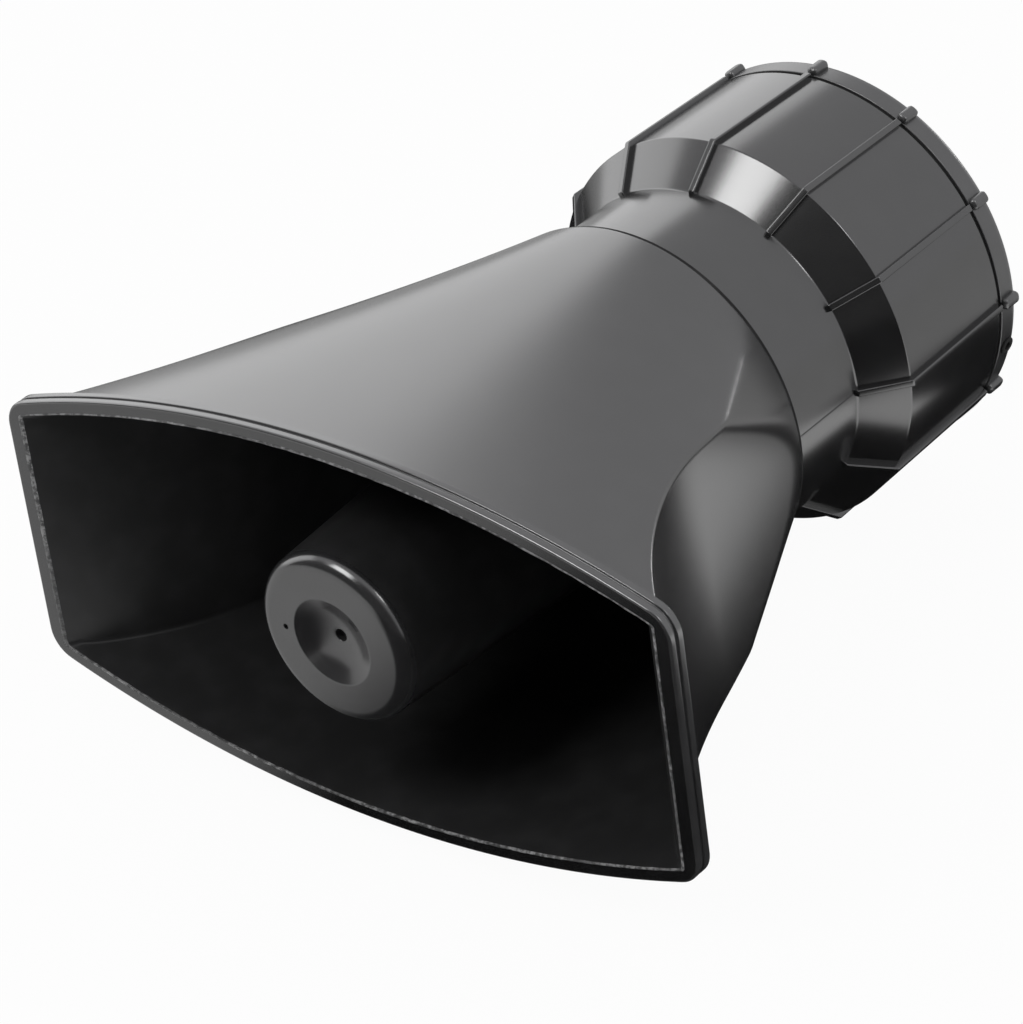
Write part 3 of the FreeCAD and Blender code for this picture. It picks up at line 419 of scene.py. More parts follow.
@dataclass(frozen=True)
class Metal(Finish):
    """Bare or plated metal with its tool marks and a little tarnish."""

    colour: Colour
    roughness: float
    lay: Lay = Lay.TURNED
    tarnish: Colour = (0.25, 0.22, 0.18)
    metallic: float = 1.0
    stain_width: float = 5.0
    stain_span: Pair = (0.52, 0.85)
    stained: float = 0.4
    rougher: float = 0.2
    mark_depth: float = 0.008
    sand: float = 0.6
    turned_pitch: float = 0.35
    knurl_pitch: float = 0.25
    knurl_teeth: int = 44

    def _marks(self, graph: Graph) -> Wire:
        """Draw the tool marks.

        Args:
            graph: the material's node tree.

        Returns:
            Their height map.
        """
        if self.lay is Lay.CAST:
            return graph.noise(self.sand, 3.0)
        x, y, z = (graph.axis(index) for index in range(3))
        if self.lay is Lay.TURNED:
            step = 2 * math.pi / (self.turned_pitch * MM)
            return ((x * x + z * z) ** 0.5 * step).wave()
        turn = graph.node("ShaderNodeMath", {"operation": "ARCTAN2"}, {0: z, 1: x}) * self.knurl_teeth
        along = y * (1 / (self.knurl_pitch * MM))
        return (turn + along).sine() * (turn - along).sine()

    def values(self, graph: Graph) -> Values:
        """Work out the values of the principled shader.

        Args:
            graph: the material's node tree.

        Returns:
            The value or Wire of each input.
        """
        stain = graph.noise(self.stain_width, 4.0, 0.6).ramp(*self.stain_span)
        return {
            "Base Color": graph.blend(stain * self.stained, self.colour, self.tarnish),
            "Roughness": self.roughness + self.rougher * stain,
            "Metallic": self.metallic,
            "Normal": graph.bump(self._marks(graph), self.mark_depth),
        }


@dataclass(frozen=True)
class Winding(Finish):
    """Enamelled wire wound round the axis, seen as fine parallel turns."""

    colour: Colour
    # shade: the colour of the grooves between turns, following the bump: painted shade
    shade: Colour
    pitch: float = 0.22
    depth: float = 0.04
    turn_share: float = 0.6
    tone_width: float = 3.0
    roughness: float = 0.3
    rougher: float = 0.15
    metallic: float = 0.85

    def values(self, graph: Graph) -> Values:
        """Work out the values of the principled shader.

        Args:
            graph: the material's node tree.

        Returns:
            The value or Wire of each input.
        """
        turns = (graph.axis(1) * (2 * math.pi / (self.pitch * MM))).wave()
        tone = graph.noise(self.tone_width)
        mixed = turns * self.turn_share + (1 - self.turn_share) * tone
        return {
            "Base Color": graph.blend(mixed, self.shade, self.colour),
            "Roughness": self.roughness + self.rougher * tone,
            "Metallic": self.metallic,
            "Normal": graph.bump(turns, self.depth),
        }


@dataclass(frozen=True)
class Film(Finish):
    """Thin formed film or fibre board, with a woven or speckled body."""

    colour: Colour
    thread: Colour
    pitch: float
    roughness: float
    depth: float = 0.015
    weave_share: float = 0.7
    tone_width: float = 2.5
    rougher: float = 0.15

    def values(self, graph: Graph) -> Values:
        """Work out the values of the principled shader.

        Args:
            graph: the material's node tree.

        Returns:
            The value or Wire of each input.
        """
        step = 2 * math.pi / (self.pitch * MM)
        weave = (graph.axis(0) * step).sine() * (graph.axis(2) * step).sine() * 0.5 + 0.5
        tone = graph.noise(self.tone_width, 3.0)
        mixed = weave * self.weave_share + (1 - self.weave_share) * tone
        return {
            "Base Color": graph.blend(mixed, self.colour, self.thread),
            "Roughness": self.roughness + self.rougher * tone,
            "Normal": graph.bump(weave, self.depth),
        }


def rounded(outline: Sequence[Corner]) -> list[Pair]:
    """Round the corners of an outline that have a third number, their radius.

    Args:
        outline: (across, along[, radius]) corners.

    Returns:
        The outline's points with its arcs.
    """
    found: list[Pair] = []
    for index, corner in enumerate(outline):
        if len(corner) < 3:
            found.append((corner[0], corner[1]))
            continue
        here, radius = Vector(corner[:2]), corner[2]
        before = (Vector(outline[index - 1][:2]) - here).normalized()
        after = (Vector(outline[(index + 1) % len(outline)][:2]) - here).normalized()
        half = before.angle(after) / 2
        centre = here + (before + after).normalized() * (radius / math.sin(half))
        reach = radius / math.tan(half)
        first, last = ((here + way * reach - centre).normalized() for way in (before, after))
        steps = SMALL_ARC_STEPS if radius < SMALL_ARC else ARC_STEPS
        for step in range(steps + 1):
            spot = centre + first.slerp(last, step / steps) * radius
            found.append((spot.x, spot.y))
    return found


def crossing(before: Callable[[float], bool], high: float) -> float:
    """Find where a test turns from true to false, by halving.

    Args:
        before: the test, true from 0 up to the crossing.
        high: the value at which the search ends.

    Returns:
        The crossing.
    """
    low = 0.0
    for _ in range(HALVINGS):
        middle = (low + high) / 2
        if before(middle):
            low = middle
        else:
            high = middle
    return (low + high) / 2


def lying(spot: Vector) -> Matrix:
    """A place at a spot, turned so that its own Z runs along the horn's axis."""
    return Matrix.Translation(spot) @ Matrix.Rotation(math.pi / 2, 4, "X")


def facing(spot: Vector, way: Vector) -> Matrix:
    """A place at a spot, turned so that its own Z points along a direction."""
    return Matrix.Translation(spot) @ way.to_track_quat("Z", "Y").to_matrix().to_4x4()


def placed(name: str, data: bpy.types.ID, place: Matrix | None = None) -> bpy.types.Object:
    """Put a new object in the scene.

    Args:
        name: its name.
        data: its mesh, camera or lamp.
        place: where it stands, or nothing for the origin.

    Returns:
        The new object.
    """
    thing = bpy.data.objects.new(name, data)
    if place is not None:
        thing.matrix_world = place
    bpy.context.scene.collection.objects.link(thing)
    return thing


class Shape:
    """A mesh in the making, in metres, shaped by bmesh operators."""

    def __init__(self) -> None:
        """Start an empty mesh."""
        self.mesh = bmesh.new()

    def turn(self, outline: Sequence[Corner], steps: int, closed: bool = True) -> None:
        """Turn an outline about the Y axis.

        Args:
            outline: (radius, y[, rounding]) corners in millimetres.
            steps: how many steps the full turn has.
            closed: whether the outline's last point joins its first.
        """
        part = bmesh.new()
        verts = [part.verts.new((radius * MM, y * MM, 0.0)) for radius, y in rounded(outline)]
        pairs = list(zip(verts, verts[1:])) + ([(verts[-1], verts[0])] if closed else [])
        for pair in pairs:
            part.edges.new(pair)
        bmesh.ops.spin(
            part,
            geom=part.verts[:] + part.edges[:],
            cent=(0, 0, 0),
            axis=(0, 1, 0),
            dvec=(0, 0, 0),
            angle=2 * math.pi,
            steps=steps,
            use_merge=True,
            use_duplicate=False,
        )
        bmesh.ops.remove_doubles(part, verts=part.verts[:], dist=TOUCHING)
        bmesh.ops.recalc_face_normals(part, faces=part.faces[:])
        self.join(part)

    def join(self, other: bmesh.types.BMesh) -> None:
        """Add another mesh to this one.

        Args:
            other: the mesh to add, which is used up.
        """
        spare = bpy.data.meshes.new("spare")
        other.to_mesh(spare)
        other.free()
        self.mesh.from_mesh(spare)
        bpy.data.meshes.remove(spare)

    def plate(
        self,
        outline: Sequence[Pair],
        width: float,
        rounding: float,
        count: int = 1,
        start: float = 0.0,
    ) -> None:
        """Add flat webs that stand out from the axis, spaced round it.

        Args:
            outline: (radius, y) corners in millimetres.
            width: the web's thickness.
            rounding: the radius on its edges.
            count: how many there are round the axis.
            start: the first one's angle in degrees, 0 at +X and 90 at the top.
        """
        part = bmesh.new()
        corners = [part.verts.new((r * MM, y * MM, -width / 2 * MM)) for r, y in outline]
        grown = bmesh.ops.extrude_face_region(part, geom=[part.faces.new(corners)])
        top = [item for item in grown["geom"] if isinstance(item, bmesh.types.BMVert)]
        bmesh.ops.translate(part, verts=top, vec=(0, 0, width * MM))
        bmesh.ops.recalc_face_normals(part, faces=part.faces[:])
        bmesh.ops.bevel(
            part,
            geom=part.edges[:],
            offset=rounding * MM,
            segments=BEVEL_STEPS,
            profile=0.5,
            affect="EDGES",
            clamp_overlap=True,
            material=-1,
        )
        for index in range(count):
            copy = part.copy()
            turn = Matrix.Rotation(-math.radians(start + 360.0 * index / count), 3, "Y")
            bmesh.ops.rotate(copy, verts=copy.verts[:], cent=(0, 0, 0), matrix=turn)
            self.join(copy)
        part.free()

    def pin(self, radius: float, length: float, place: Matrix) -> None:
        """Add a round pin.

        Args:
            radius: its radius in millimetres.
            length: its length along its own Z.
            place: where its middle lies, with its translation in millimetres.
        """
        place = place.copy()
        place.translation *= MM
        bmesh.ops.create_cone(
            self.mesh,
            cap_ends=True,
            segments=PIN_STEPS,
            radius1=radius * MM,
            radius2=radius * MM,
            depth=length * MM,
            matrix=place,
        )

    def ring_of_pins(
        self,
        circle: float,
        radius: float,
        low: float,
        high: float,
        count: int = 4,
        start: float = 45.0,
    ) -> None:
        """Add pins along Y on a circle.

        Args:
            circle: the circle's radius in millimetres.
            radius: the pins' radius.
            low: the station where they start.
            high: the station where they end.
            count: how many there are.
            start: the first one's angle in degrees.
        """
        for index in range(count):
            turn = math.radians(start + 360 * index / count)
            middle = Vector((circle * math.cos(turn), (low + high) / 2, circle * math.sin(turn)))
            self.pin(radius, high - low, lying(middle))

    def loose(self, name: str) -> bpy.types.Object:
        """Make an object of this mesh, which is used up.

        Args:
            name: the object's name.

        Returns:
            The object, in the scene.
        """
        data = bpy.data.meshes.new(name)
        self.mesh.to_mesh(data)
        self.mesh.free()
        return placed(name, data)

    def bore(self, pins: Shape) -> None:
        """Cut this mesh with another, which is used up.

        Args:
            pins: the closed shapes to cut away.
        """
        stock, tool = self.loose("stock"), pins.loose("tool")
        cut = stock.modifiers.new("holes", "BOOLEAN")
        cut.operation = "DIFFERENCE"
        cut.solver = "EXACT"
        cut.object = tool
        state = bpy.context.evaluated_depsgraph_get()
        whole = bpy.data.meshes.new_from_object(stock.evaluated_get(state))
        self.mesh = bmesh.new()
        self.mesh.from_mesh(whole)
        bpy.data.meshes.remove(whole)
        for used in (stock, tool):
            bpy.data.meshes.remove(used.data)

    def piece(self, name: str, sharp: float = 34.0) -> bpy.types.Object:
        """Turn the mesh into an object with smooth faces and even corner shading.

        Args:
            name: the object's name.
            sharp: the angle in degrees past which an edge stays sharp.

        Returns:
            The new object.
        """
        piece = self.loose(name)
        piece.data.shade_smooth()
        piece.data.set_sharp_from_angle(angle=math.radians(sharp))
        piece.modifiers.new("even_corners", "WEIGHTED_NORMAL").keep_sharp = True
        return piece


def seat(piece: bpy.types.Object, slot: str, node: str, *materials: bpy.types.Material) -> None:
    """Dress a new piece, ride it on the housing and let it stand for its CAD node.

    Args:
        piece: the new piece.
        slot: the record's material slot, which is not used.
        node: the CAD node that it replaces.
        materials: its materials, in the order of its faces' numbers.
    """
    for material in materials:
        piece.data.materials.append(material)
    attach(piece, HOUSING)
    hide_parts(node)
    LOG.info("%s: %d faces", piece.name, len(piece.data.polygons))


def dress(node: bpy.types.Object, material: bpy.types.Material) -> None:
    """Give a carried-over CAD node its material.

    Args:
        node: the CAD node's object.
        material: the material for all its slots.
    """
    if not node.material_slots:
        node.data.materials.append(material)
    for place in node.material_slots:
        place.material = material
    LOG.info("%s dressed as %s", node.name, material.name)


@dataclass
class Bell:
    """The flared bell: a ruled passage cut by flared sides, a grooved rim and a flat floor."""

    y_seam: float = -74.0
    y_floor: float = -80.0
    y_mouth: float = -169.2
    seam_radius: float = 39.8
    half_width: float = 82.0
    half_height: float = 42.8
    bow_radius: float = 247.1
    corner_radius: float = 6.5
    wall: float = 1.9
    corner_turn: float = 40.0
    flare_angle: float = 13.55
    flare_clearance: float = 0.4
    flare_straight: float = 44.8
    crease_blend: float = 0.8
    # the rim: how far it stands out, and its lip, groove and back bead
    rim_stand: float = 1.1
    lip_depth: float = 1.6
    groove_width: float = 0.7
    groove_depth: float = 0.5
    back_depth: float = 1.6
    back_tuck: float = 0.88
    bead_round: float = 0.25
    groove_round: float = 0.1
    front_round: float = 0.5
    face_inset: float = 2.4
    # the torn inner lip: its width, how far it stands forward and how much it wavers
    lip_width: float = 0.6
    lip_stand: float = 0.08
    lip_reach: float = 0.3
    lip_gap: float = 0.1
    lip_shares: tuple[float, ...] = (0.8, 0.35, 0.08, 0.0)
    torn_out: float = 0.08
    torn_in: float = 0.048
    torn_seed: int = 7
    # the back face at the seam, with the groove for the neck's spigot, and the floor inside
    seam_edge: tuple[Pair, ...] = ((0.6, 0.0), (0.2, 0.05))
    seam_step: float = 0.1
    seam_start: float = 0.3
    floor_start: float = 0.15
    floor_shares: Triple = (0.02, 0.5, 1.0)
    spigot_groove: Triple = (31.2, 34.6, -76.4)
    tube_bore: float = 12.8
    # how the rings and the points on them are spread
    steep: float = 0.05
    crease_least: float = 5.0
    crease_most: float = 75.0
    side_steps: int = 28
    top_steps: int = 48
    crowding: float = 1.5
    outside_rings: int = 74
    outside_spread: float = 1.25
    inside_rings: int = 60
    inside_spread: float = 0.95
    sharp: float = 48.0

    def flare(self, y: float, inset: float) -> float:
        """How far out the flared side stands.

        Args:
            y: the station.
            inset: how far the surface is drawn in.

        Returns:
            The half width of the side surface there.
        """
        lean = math.radians(self.flare_angle)
        along = Vector((math.sin(lean), -math.cos(lean)))
        outward = Vector((math.cos(lean), math.sin(lean)))
        start = Vector((self.seam_radius + self.flare_clearance, self.y_seam))
        bend = start + along * (self.flare_straight / math.cos(lean))
        reach = Vector((self.half_width - self.rim_stand, self.y_mouth)) - bend
        radius = reach.length_squared / (2 * reach.dot(outward))
        centre = bend + outward * radius
        if y > (bend - outward * inset).y:
            return start.x - inset / math.cos(lean) + math.tan(lean) * (self.y_seam - y)
        grown = radius + inset
        return centre.x - math.sqrt(grown * grown - (y - centre.y) ** 2)

    def ruled(self, turn: float, y: float, inset: float) -> float:
        """The ruled passage's radius in a direction.

        Args:
            turn: the direction from the axis, from 0 at the side to a right angle at the top.
            y: the station.
            inset: how far the surface is drawn in.

        Returns:
            The radius there.
        """
        share = (self.y_seam - y) / (self.y_seam - self.y_mouth)
        radius = self.seam_radius - inset
        bow = self.bow_radius - self.rim_stand - inset
        rise = self.half_height - self.bow_radius
        corner_turn = math.radians(self.corner_turn)
        corner_height = rise + math.sqrt(bow * bow - self.half_width**2)
        corner_bow = math.asin(self.half_width / bow)

        def side(step: float) -> Pair:
            """A point on the patch beside the crease.

            Args:
                step: how far along the patch it lies, from 0 to 1.

            Returns:
                The point's x and z.
            """
            x = (1 - share) * radius * math.cos(corner_turn * step) + share * self.half_width
            z = (1 - share) * radius * math.sin(corner_turn * step) + share * corner_height * step
            return x, z

        def top(step: float) -> Pair:
            """A point on the bowed patch.

            Args:
                step: how far along the patch it lies, from 0 to 1.

            Returns:
                The point's x and z.
            """
            around = corner_turn + (math.pi / 2 - corner_turn) * step
            lean = corner_bow * (1 - step)
            x = (1 - share) * radius * math.cos(around) + share * bow * math.sin(lean)
            z = (1 - share) * radius * math.sin(around) + share * (rise + bow * math.cos(lean))
            return x, z

        corner = side(1.0)
        patch = side if turn < math.atan2(corner[1], corner[0]) else top

        def short(step: float) -> bool:
            """Whether the patch's point comes before the direction."""
            x, z = patch(step)
            return math.atan2(z, x) < turn

        return math.hypot(*patch(crossing(short, 1.0)))

    def wall_radius(self, turn: float, y: float, inset: float) -> float:
        """The radius of the bell's surface in a direction, with its creases rounded.

        Args:
            turn: the direction from the axis.
            y: the station.
            inset: how far the surface is drawn in.

        Returns:
            The radius there.
        """
        bowed = self.ruled(turn, y, inset)
        across = math.cos(turn)
        if across < self.steep:
            return bowed
        flared = self.flare(y, inset) / across
        near = max(self.crease_blend - abs(bowed - flared), 0.0) / self.crease_blend
        return min(bowed, flared) - near * near * self.crease_blend / 4

    def rim_radius(self, turn: float, inset: float) -> float:
        """The radius of the mouth's outline in a direction.

        Args:
            turn: the direction from the axis.
            inset: how far the outline is drawn in.

        Returns:
            The radius there.
        """
        bow = self.bow_radius - inset
        rise = self.half_height - self.bow_radius
        wide = self.half_width - inset
        corner = self.corner_radius - inset
        middle_x = wide - corner
        reach = math.sqrt((bow - corner) ** 2 - middle_x**2)
        side_z = rise + reach
        touch_x = middle_x * bow / (bow - corner)
        touch_z = rise + reach * bow / (bow - corner)
        across, up = math.cos(turn), math.sin(turn)
        if turn <= math.atan2(side_z, wide):
            return wide / across
        if turn <= math.atan2(touch_z, touch_x):
            along = middle_x * across + side_z * up
            return along + math.sqrt(along * along - middle_x**2 - side_z**2 + corner * corner)
        along = rise * up
        return along + math.sqrt(along * along - rise * rise + bow * bow)

    def crease_turn(self, y: float, inset: float) -> float:
        """The direction of the crease, never nearer the side's middle than a few degrees.

        Args:
            y: the station.
            inset: how far the surface is drawn in.

        Returns:
            The direction there.
        """
        flared = self.flare(y, inset)

        def inner(turn: float) -> bool:
            """Whether the flared side is the nearer surface in a direction."""
            return flared / math.cos(turn) < self.ruled(turn, y, inset)

        return math.hypot(crossing(inner, math.radians(self.crease_most)), math.radians(self.crease_least))

    def ring_turns(self, crease: float) -> list[float]:
        """Directions all round, closest together at the creases.

        Args:
            crease: the crease's direction in the first quarter.

        Returns:
            The directions, mirrored about both planes.
        """
        past = math.pi / 2 - crease
        sides = [(1 - step / self.side_steps) ** self.crowding for step in range(self.side_steps)]
        tops = [(step / self.top_steps) ** self.crowding for step in range(self.top_steps + 1)]
        quarter = [crease * (1 - share) for share in sides] + [crease + past * share for share in tops]
        half = quarter + [math.pi - turn for turn in reversed(quarter[:-1])]
        return half + [turn + math.pi for turn in half[1:-1]]

    @staticmethod
    def folded(turn: float) -> float:
        """The same direction in the first quarter."""
        turn = math.fmod(turn, math.pi)
        return turn if turn <= math.pi / 2 else math.pi - turn

    def rim_profile(self) -> list[Pair]:
        """The rim's section, from behind its back bead to the front face.

        Returns:
            Each point's inset and station.
        """
        y_lip = self.y_mouth + self.lip_depth
        y_groove = y_lip + self.groove_width
        y_back = y_groove + self.back_depth
        return rounded(
            [
                (self.back_tuck, y_back),
                (0.0, y_back, self.bead_round),
                (0.0, y_groove, self.bead_round),
                (self.groove_depth, y_groove, self.groove_round),
                (self.groove_depth, y_lip, self.groove_round),
                (0.0, y_lip, self.bead_round),
                (0.0, self.y_mouth, self.front_round),
                (self.face_inset, self.y_mouth),
            ]
        )

    def rings(self) -> list[tuple[str, list[Vector]]]:
        """Every ring of the bell, from the seam out over the rim and in to the floor and back.

        Returns:
            Each ring's zone and its points, in millimetres.
        """
        found: list[tuple[str, list[Vector]]] = []

        def add(zone: str, y: float, turns: list[float], radius: Callable[[float], float]) -> None:
            """Add one ring.

            Args:
                zone: the stretch of the surface that it ends.
                y: its station.
                turns: the directions of its points.
                radius: gives the radius in a direction of the first quarter.
            """
            points = []
            for turn in turns:
                reach = radius(self.folded(turn))
                points.append(Vector((reach * math.cos(turn), y, reach * math.sin(turn))))
            found.append((zone, points))

        seam = self.y_seam
        even = self.ring_turns(self.crease_turn(seam - self.seam_step, 0.0))
        groove_in, groove_out, groove_y = self.spigot_groove
        back = [(self.tube_bore, seam), (groove_in, seam), (groove_in, groove_y), (groove_out, groove_y)]
        back += [(groove_out, seam)]
        back += [(self.seam_radius - inset, seam - forward) for inset, forward in self.seam_edge]
        for reach, y in back:
            add("outside", y, even, lambda _, reach=reach: reach)
        profile = self.rim_profile()
        start = seam - self.seam_start
        for step in range(self.outside_rings + 1):
            y = start + (profile[0][1] - start) * (step / self.outside_rings) ** self.outside_spread
            turns = self.ring_turns(self.crease_turn(y, 0.0))
            add("outside", y, turns, lambda turn, y=y: self.wall_radius(turn, y, 0.0))
        turns = self.ring_turns(self.crease_turn(self.y_mouth + self.lip_depth, 0.0))
        for inset, y in profile[:-1]:
            add("rim", y, turns, lambda turn, inset=inset: self.rim_radius(turn, inset))
        passage = partial(self.wall_radius, y=self.y_mouth, inset=self.wall)
        inset, y = profile[-1]
        lip, least = self.lip_width, self.lip_width + self.lip_gap
        add("face", y, turns, lambda turn: max(self.rim_radius(turn, inset), passage(turn) + least))
        add("face", y, turns, lambda turn: passage(turn) + lip)
        y_front, y_passage = self.y_mouth - self.lip_stand, self.y_mouth + self.lip_reach
        for share, y in zip(self.lip_shares, (y_front, y_front, self.y_mouth, y_passage)):
            add("lip", y, turns, lambda turn, s=share * lip, y=y: self.wall_radius(turn, y, self.wall) + s)
        end = self.y_floor + self.floor_start
        for step in range(1, self.inside_rings + 1):
            y = y_passage + (end - y_passage) * (step / self.inside_rings) ** self.inside_spread
            turns = self.ring_turns(self.crease_turn(y, self.wall))
            add("inside", y, turns, lambda turn, y=y: self.wall_radius(turn, y, self.wall))
        for share in self.floor_shares:
            add(
                "inside",
                self.y_floor,
                turns,
                lambda turn, s=share: (1 - s) * self.wall_radius(turn, end, self.wall) + s * self.tube_bore,
            )
        return found

    def build(self, **finishes: bpy.types.Material) -> None:
        """Make the bell by drawing one ring out over the rim and back, then closing it.

        Args:
            finishes: a material for each zone: outside, rim, face, lip and inside.
        """
        shape = Shape()
        mesh = shape.mesh
        rings = self.rings()
        chance = random.Random(self.torn_seed)
        places = {zone: index for index, zone in enumerate(finishes)}
        bmesh.ops.create_circle(mesh, segments=len(rings[0][1]), radius=self.tube_bore * MM)
        first = front = mesh.verts[:]
        for vert, point in zip(front, rings[0][1]):
            vert.co = point * MM
        for zone, points in rings[1:]:
            edges = [mesh.edges.get(pair) for pair in zip(front, front[1:] + front[:1])]
            grown = bmesh.ops.extrude_edge_only(mesh, edges=edges)["geom"]
            fresh = {item for item in grown if isinstance(item, bmesh.types.BMVert)}
            front = [next(e.other_vert(v) for e in v.link_edges if e.other_vert(v) in fresh) for v in front]
            for vert, point in zip(front, points):
                shake = chance.uniform(-self.torn_out, self.torn_in) if zone == "lip" else 0.0
                vert.co = (point + Vector((0, shake, 0))) * MM
            for item in grown:
                if isinstance(item, bmesh.types.BMFace):
                    item.material_index = places[zone]
        last = [mesh.edges.get(pair) for pair in zip(front, front[1:] + front[:1])]
        start = [mesh.edges.get(pair) for pair in zip(first, first[1:] + first[:1])]
        bmesh.ops.bridge_loops(mesh, edges=last + start)
        bmesh.ops.recalc_face_normals(mesh, faces=mesh.faces[:])
        seat(shape.piece("bell_shell", self.sharp), "bell_plastic", "bell", *finishes.values())


@dataclass
class Reflector:
    """The round cap in the mouth, with its dished face, and a skirt back over the throat tube."""

    y_face: float = -171.8
    radius: float = 18.4
    edge: float = 3.0
    skirt_radius: float = 21.5
    length: float = 64.0
    wall: float = 2.2
    y_floor: float = -165.2
    dish_radius: float = 9.4
    dish_wall: float = 2.4
    dish_draft: float = 4.9
    dish_depth: float = 2.8
    dish_bowl: float = 15.0
    dish_lip: float = 0.8
    hole_radius: float = 1.3
    hole_depth: float = 1.4
    hole_round: float = 0.15
    edge_straight: float = 0.4
    skirt_round: float = 0.3
    floor_round: float = 0.8
    mark_set: float = 11.6
    mark_radius: float = 0.6
    mark_depth: float = 0.8
    vane: tuple[Pair, ...] = (
        (10.8, -162.0),
        (16.9, -162.0),
        (18.4, -120.0),
        (12.7, -120.0),
        (12.7, -157.9),
        (10.8, -157.9),
    )
    vane_count: int = 3
    vane_width: float = 1.8
    vane_round: float = 0.2
    vane_angle: float = 90.0
    steps: int = 160
    sharp: float = 40.0

    def build(self, finish: bpy.types.Material, shade: bpy.types.Material) -> None:
        """Turn the cap, sink its moulding mark and add its vanes.

        Args:
            finish: its face's material.
            shade: the material of all that lies behind its rounded edge, a darker copy of the plastic that
                is painted shade.
        """
        shape = Shape()
        face, end = self.y_face, self.y_face + self.length
        dish = face + self.dish_depth
        outline: list[Corner] = [
            (0.0, dish + self.hole_depth),
            (self.hole_radius, dish + self.hole_depth),
            (self.hole_radius, dish, self.hole_round),
            (self.dish_radius - self.dish_draft, face + self.dish_wall, self.dish_bowl),
            (self.dish_radius, face, self.dish_lip),
            (self.radius, face, self.edge),
            (self.radius, face + self.edge + self.edge_straight),
            (self.skirt_radius, end, self.skirt_round),
            (self.skirt_radius - self.wall, end, self.skirt_round),
            (self.radius - self.wall, self.y_floor + self.wall, self.floor_round),
            (self.radius - 2 * self.wall, self.y_floor),
            (0.0, self.y_floor),
        ]
        shape.turn(outline, self.steps, closed=False)
        mark = Shape()
        mark.pin(self.mark_radius, 2 * self.mark_depth, lying(Vector((-self.mark_set, face, 0))))
        shape.bore(mark)
        shape.plate(self.vane, self.vane_width, self.vane_round, self.vane_count, self.vane_angle)
        # faces behind the rounded edge take the second material, painted shade
        for part in shape.mesh.faces:
            part.material_index = int(part.calc_center_median().y > (face + self.edge) * MM)
        seat(shape.piece("reflector_cap", self.sharp), "reflector_plastic", "reflector", finish, shade)


@dataclass
class DriverHousing:
    """The neck, cone and ribbed drum that hold the compression driver."""

    y_shoulder: float = -73.2
    y_neck: float = -50.4
    y_drum: float = -42.0
    y_end: float = -9.2
    y_spigot: float = -76.2
    y_front_wall: float = -70.4
    y_shelf_front: float = -48.0
    y_shelf_back: float = -44.6
    y_cone_bore: float = -41.4
    spigot_bore: float = 31.4
    spigot_radius: float = 34.4
    neck_radius: float = 36.6
    neck_bore: float = 34.0
    neck_round: float = 1.0
    drum_radius: float = 44.0
    drum_round: float = 0.6
    drum_bore: float = 40.9
    cone_bore: float = 36.4
    end_radius: float = 43.3
    edge_round: float = 0.3
    shelf_bore: float = 15.8
    tube_bore: float = 12.8
    rib_count: int = 12
    rib_width: float = 1.5
    rib_height: float = 1.1
    rib_root: float = 1.4
    post: tuple[Pair, ...] = ((33.2, -25.7), (41.5, -25.7), (41.5, -13.1), (33.2, -13.1))
    post_width: float = 8.0
    post_count: int = 4
    post_angle: float = 45.0
    boss_circle: float = 26.0
    boss_radius: float = 3.6
    boss_span: Pair = (-71.8, -62.0)
    parting_span: Pair = (-73.0, -51.5)
    parting_stand: float = 0.15
    parting_depth: float = 0.5
    parting_width: float = 0.4
    parting_round: float = 0.1
    parting_count: int = 2
    steps: int = 192

    def _rib(self) -> list[Pair]:
        """A rib's outline, standing the same height off neck, cone and drum.

        Returns:
            Its (radius, y) corners.
        """
        rise, run = self.drum_radius - self.neck_radius, self.y_drum - self.y_neck
        slant = math.hypot(rise, run)
        foot = self.y_neck - self.rib_height * rise / slant
        bend = self.rib_height * (slant - run) / rise
        return [
            (self.neck_radius - self.rib_root, foot),
            (self.neck_radius + self.rib_height * run / slant, foot),
            (self.drum_radius + self.rib_height, self.y_drum - bend),
            (self.end_radius + self.rib_height, self.y_end),
            (self.end_radius - self.rib_root, self.y_end),
            (self.drum_radius - self.rib_root, self.y_drum),
            (self.neck_radius - self.rib_root, self.y_neck),
        ]

    def build(self, finish: bpy.types.Material) -> None:
        """Turn the housing, then add its ribs, its posts and the neck's parting lines.

        Args:
            finish: its material.
        """
        shape = Shape()
        outline: list[Corner] = [
            (self.spigot_bore, self.y_spigot),
            (self.spigot_radius, self.y_spigot),
            (self.spigot_radius, self.y_shoulder),
            (self.neck_radius, self.y_shoulder, self.edge_round),
            (self.neck_radius, self.y_neck, self.neck_round),
            (self.drum_radius, self.y_drum, self.drum_round),
            (self.end_radius, self.y_end, self.edge_round),
            (self.drum_bore, self.y_end),
            (self.drum_bore, self.y_cone_bore),
            (self.cone_bore, self.y_shelf_back),
            (self.shelf_bore, self.y_shelf_back),
            (self.shelf_bore, self.y_shelf_front),
            (self.neck_bore, self.y_shelf_front),
            (self.neck_bore, self.y_front_wall),
            (self.tube_bore, self.y_front_wall),
            (self.tube_bore, self.y_shoulder),
            (self.spigot_bore, self.y_shoulder),
        ]
        shape.turn(outline, self.steps)
        shape.plate(self._rib(), self.rib_width, self.edge_round, self.rib_count)
        shape.plate(self.post, self.post_width, self.edge_round, self.post_count, self.post_angle)
        shape.ring_of_pins(self.boss_circle, self.boss_radius, *self.boss_span)
        front, back = self.parting_span
        line = self.neck_radius + self.parting_stand
        root = line - self.parting_depth
        parting = [(root, front), (line, front), (line, back), (root, back)]
        shape.plate(parting, self.parting_width, self.parting_round, self.parting_count)
        seat(shape.piece("ribbed_housing"), "housing_plastic", "driver_housing", finish)


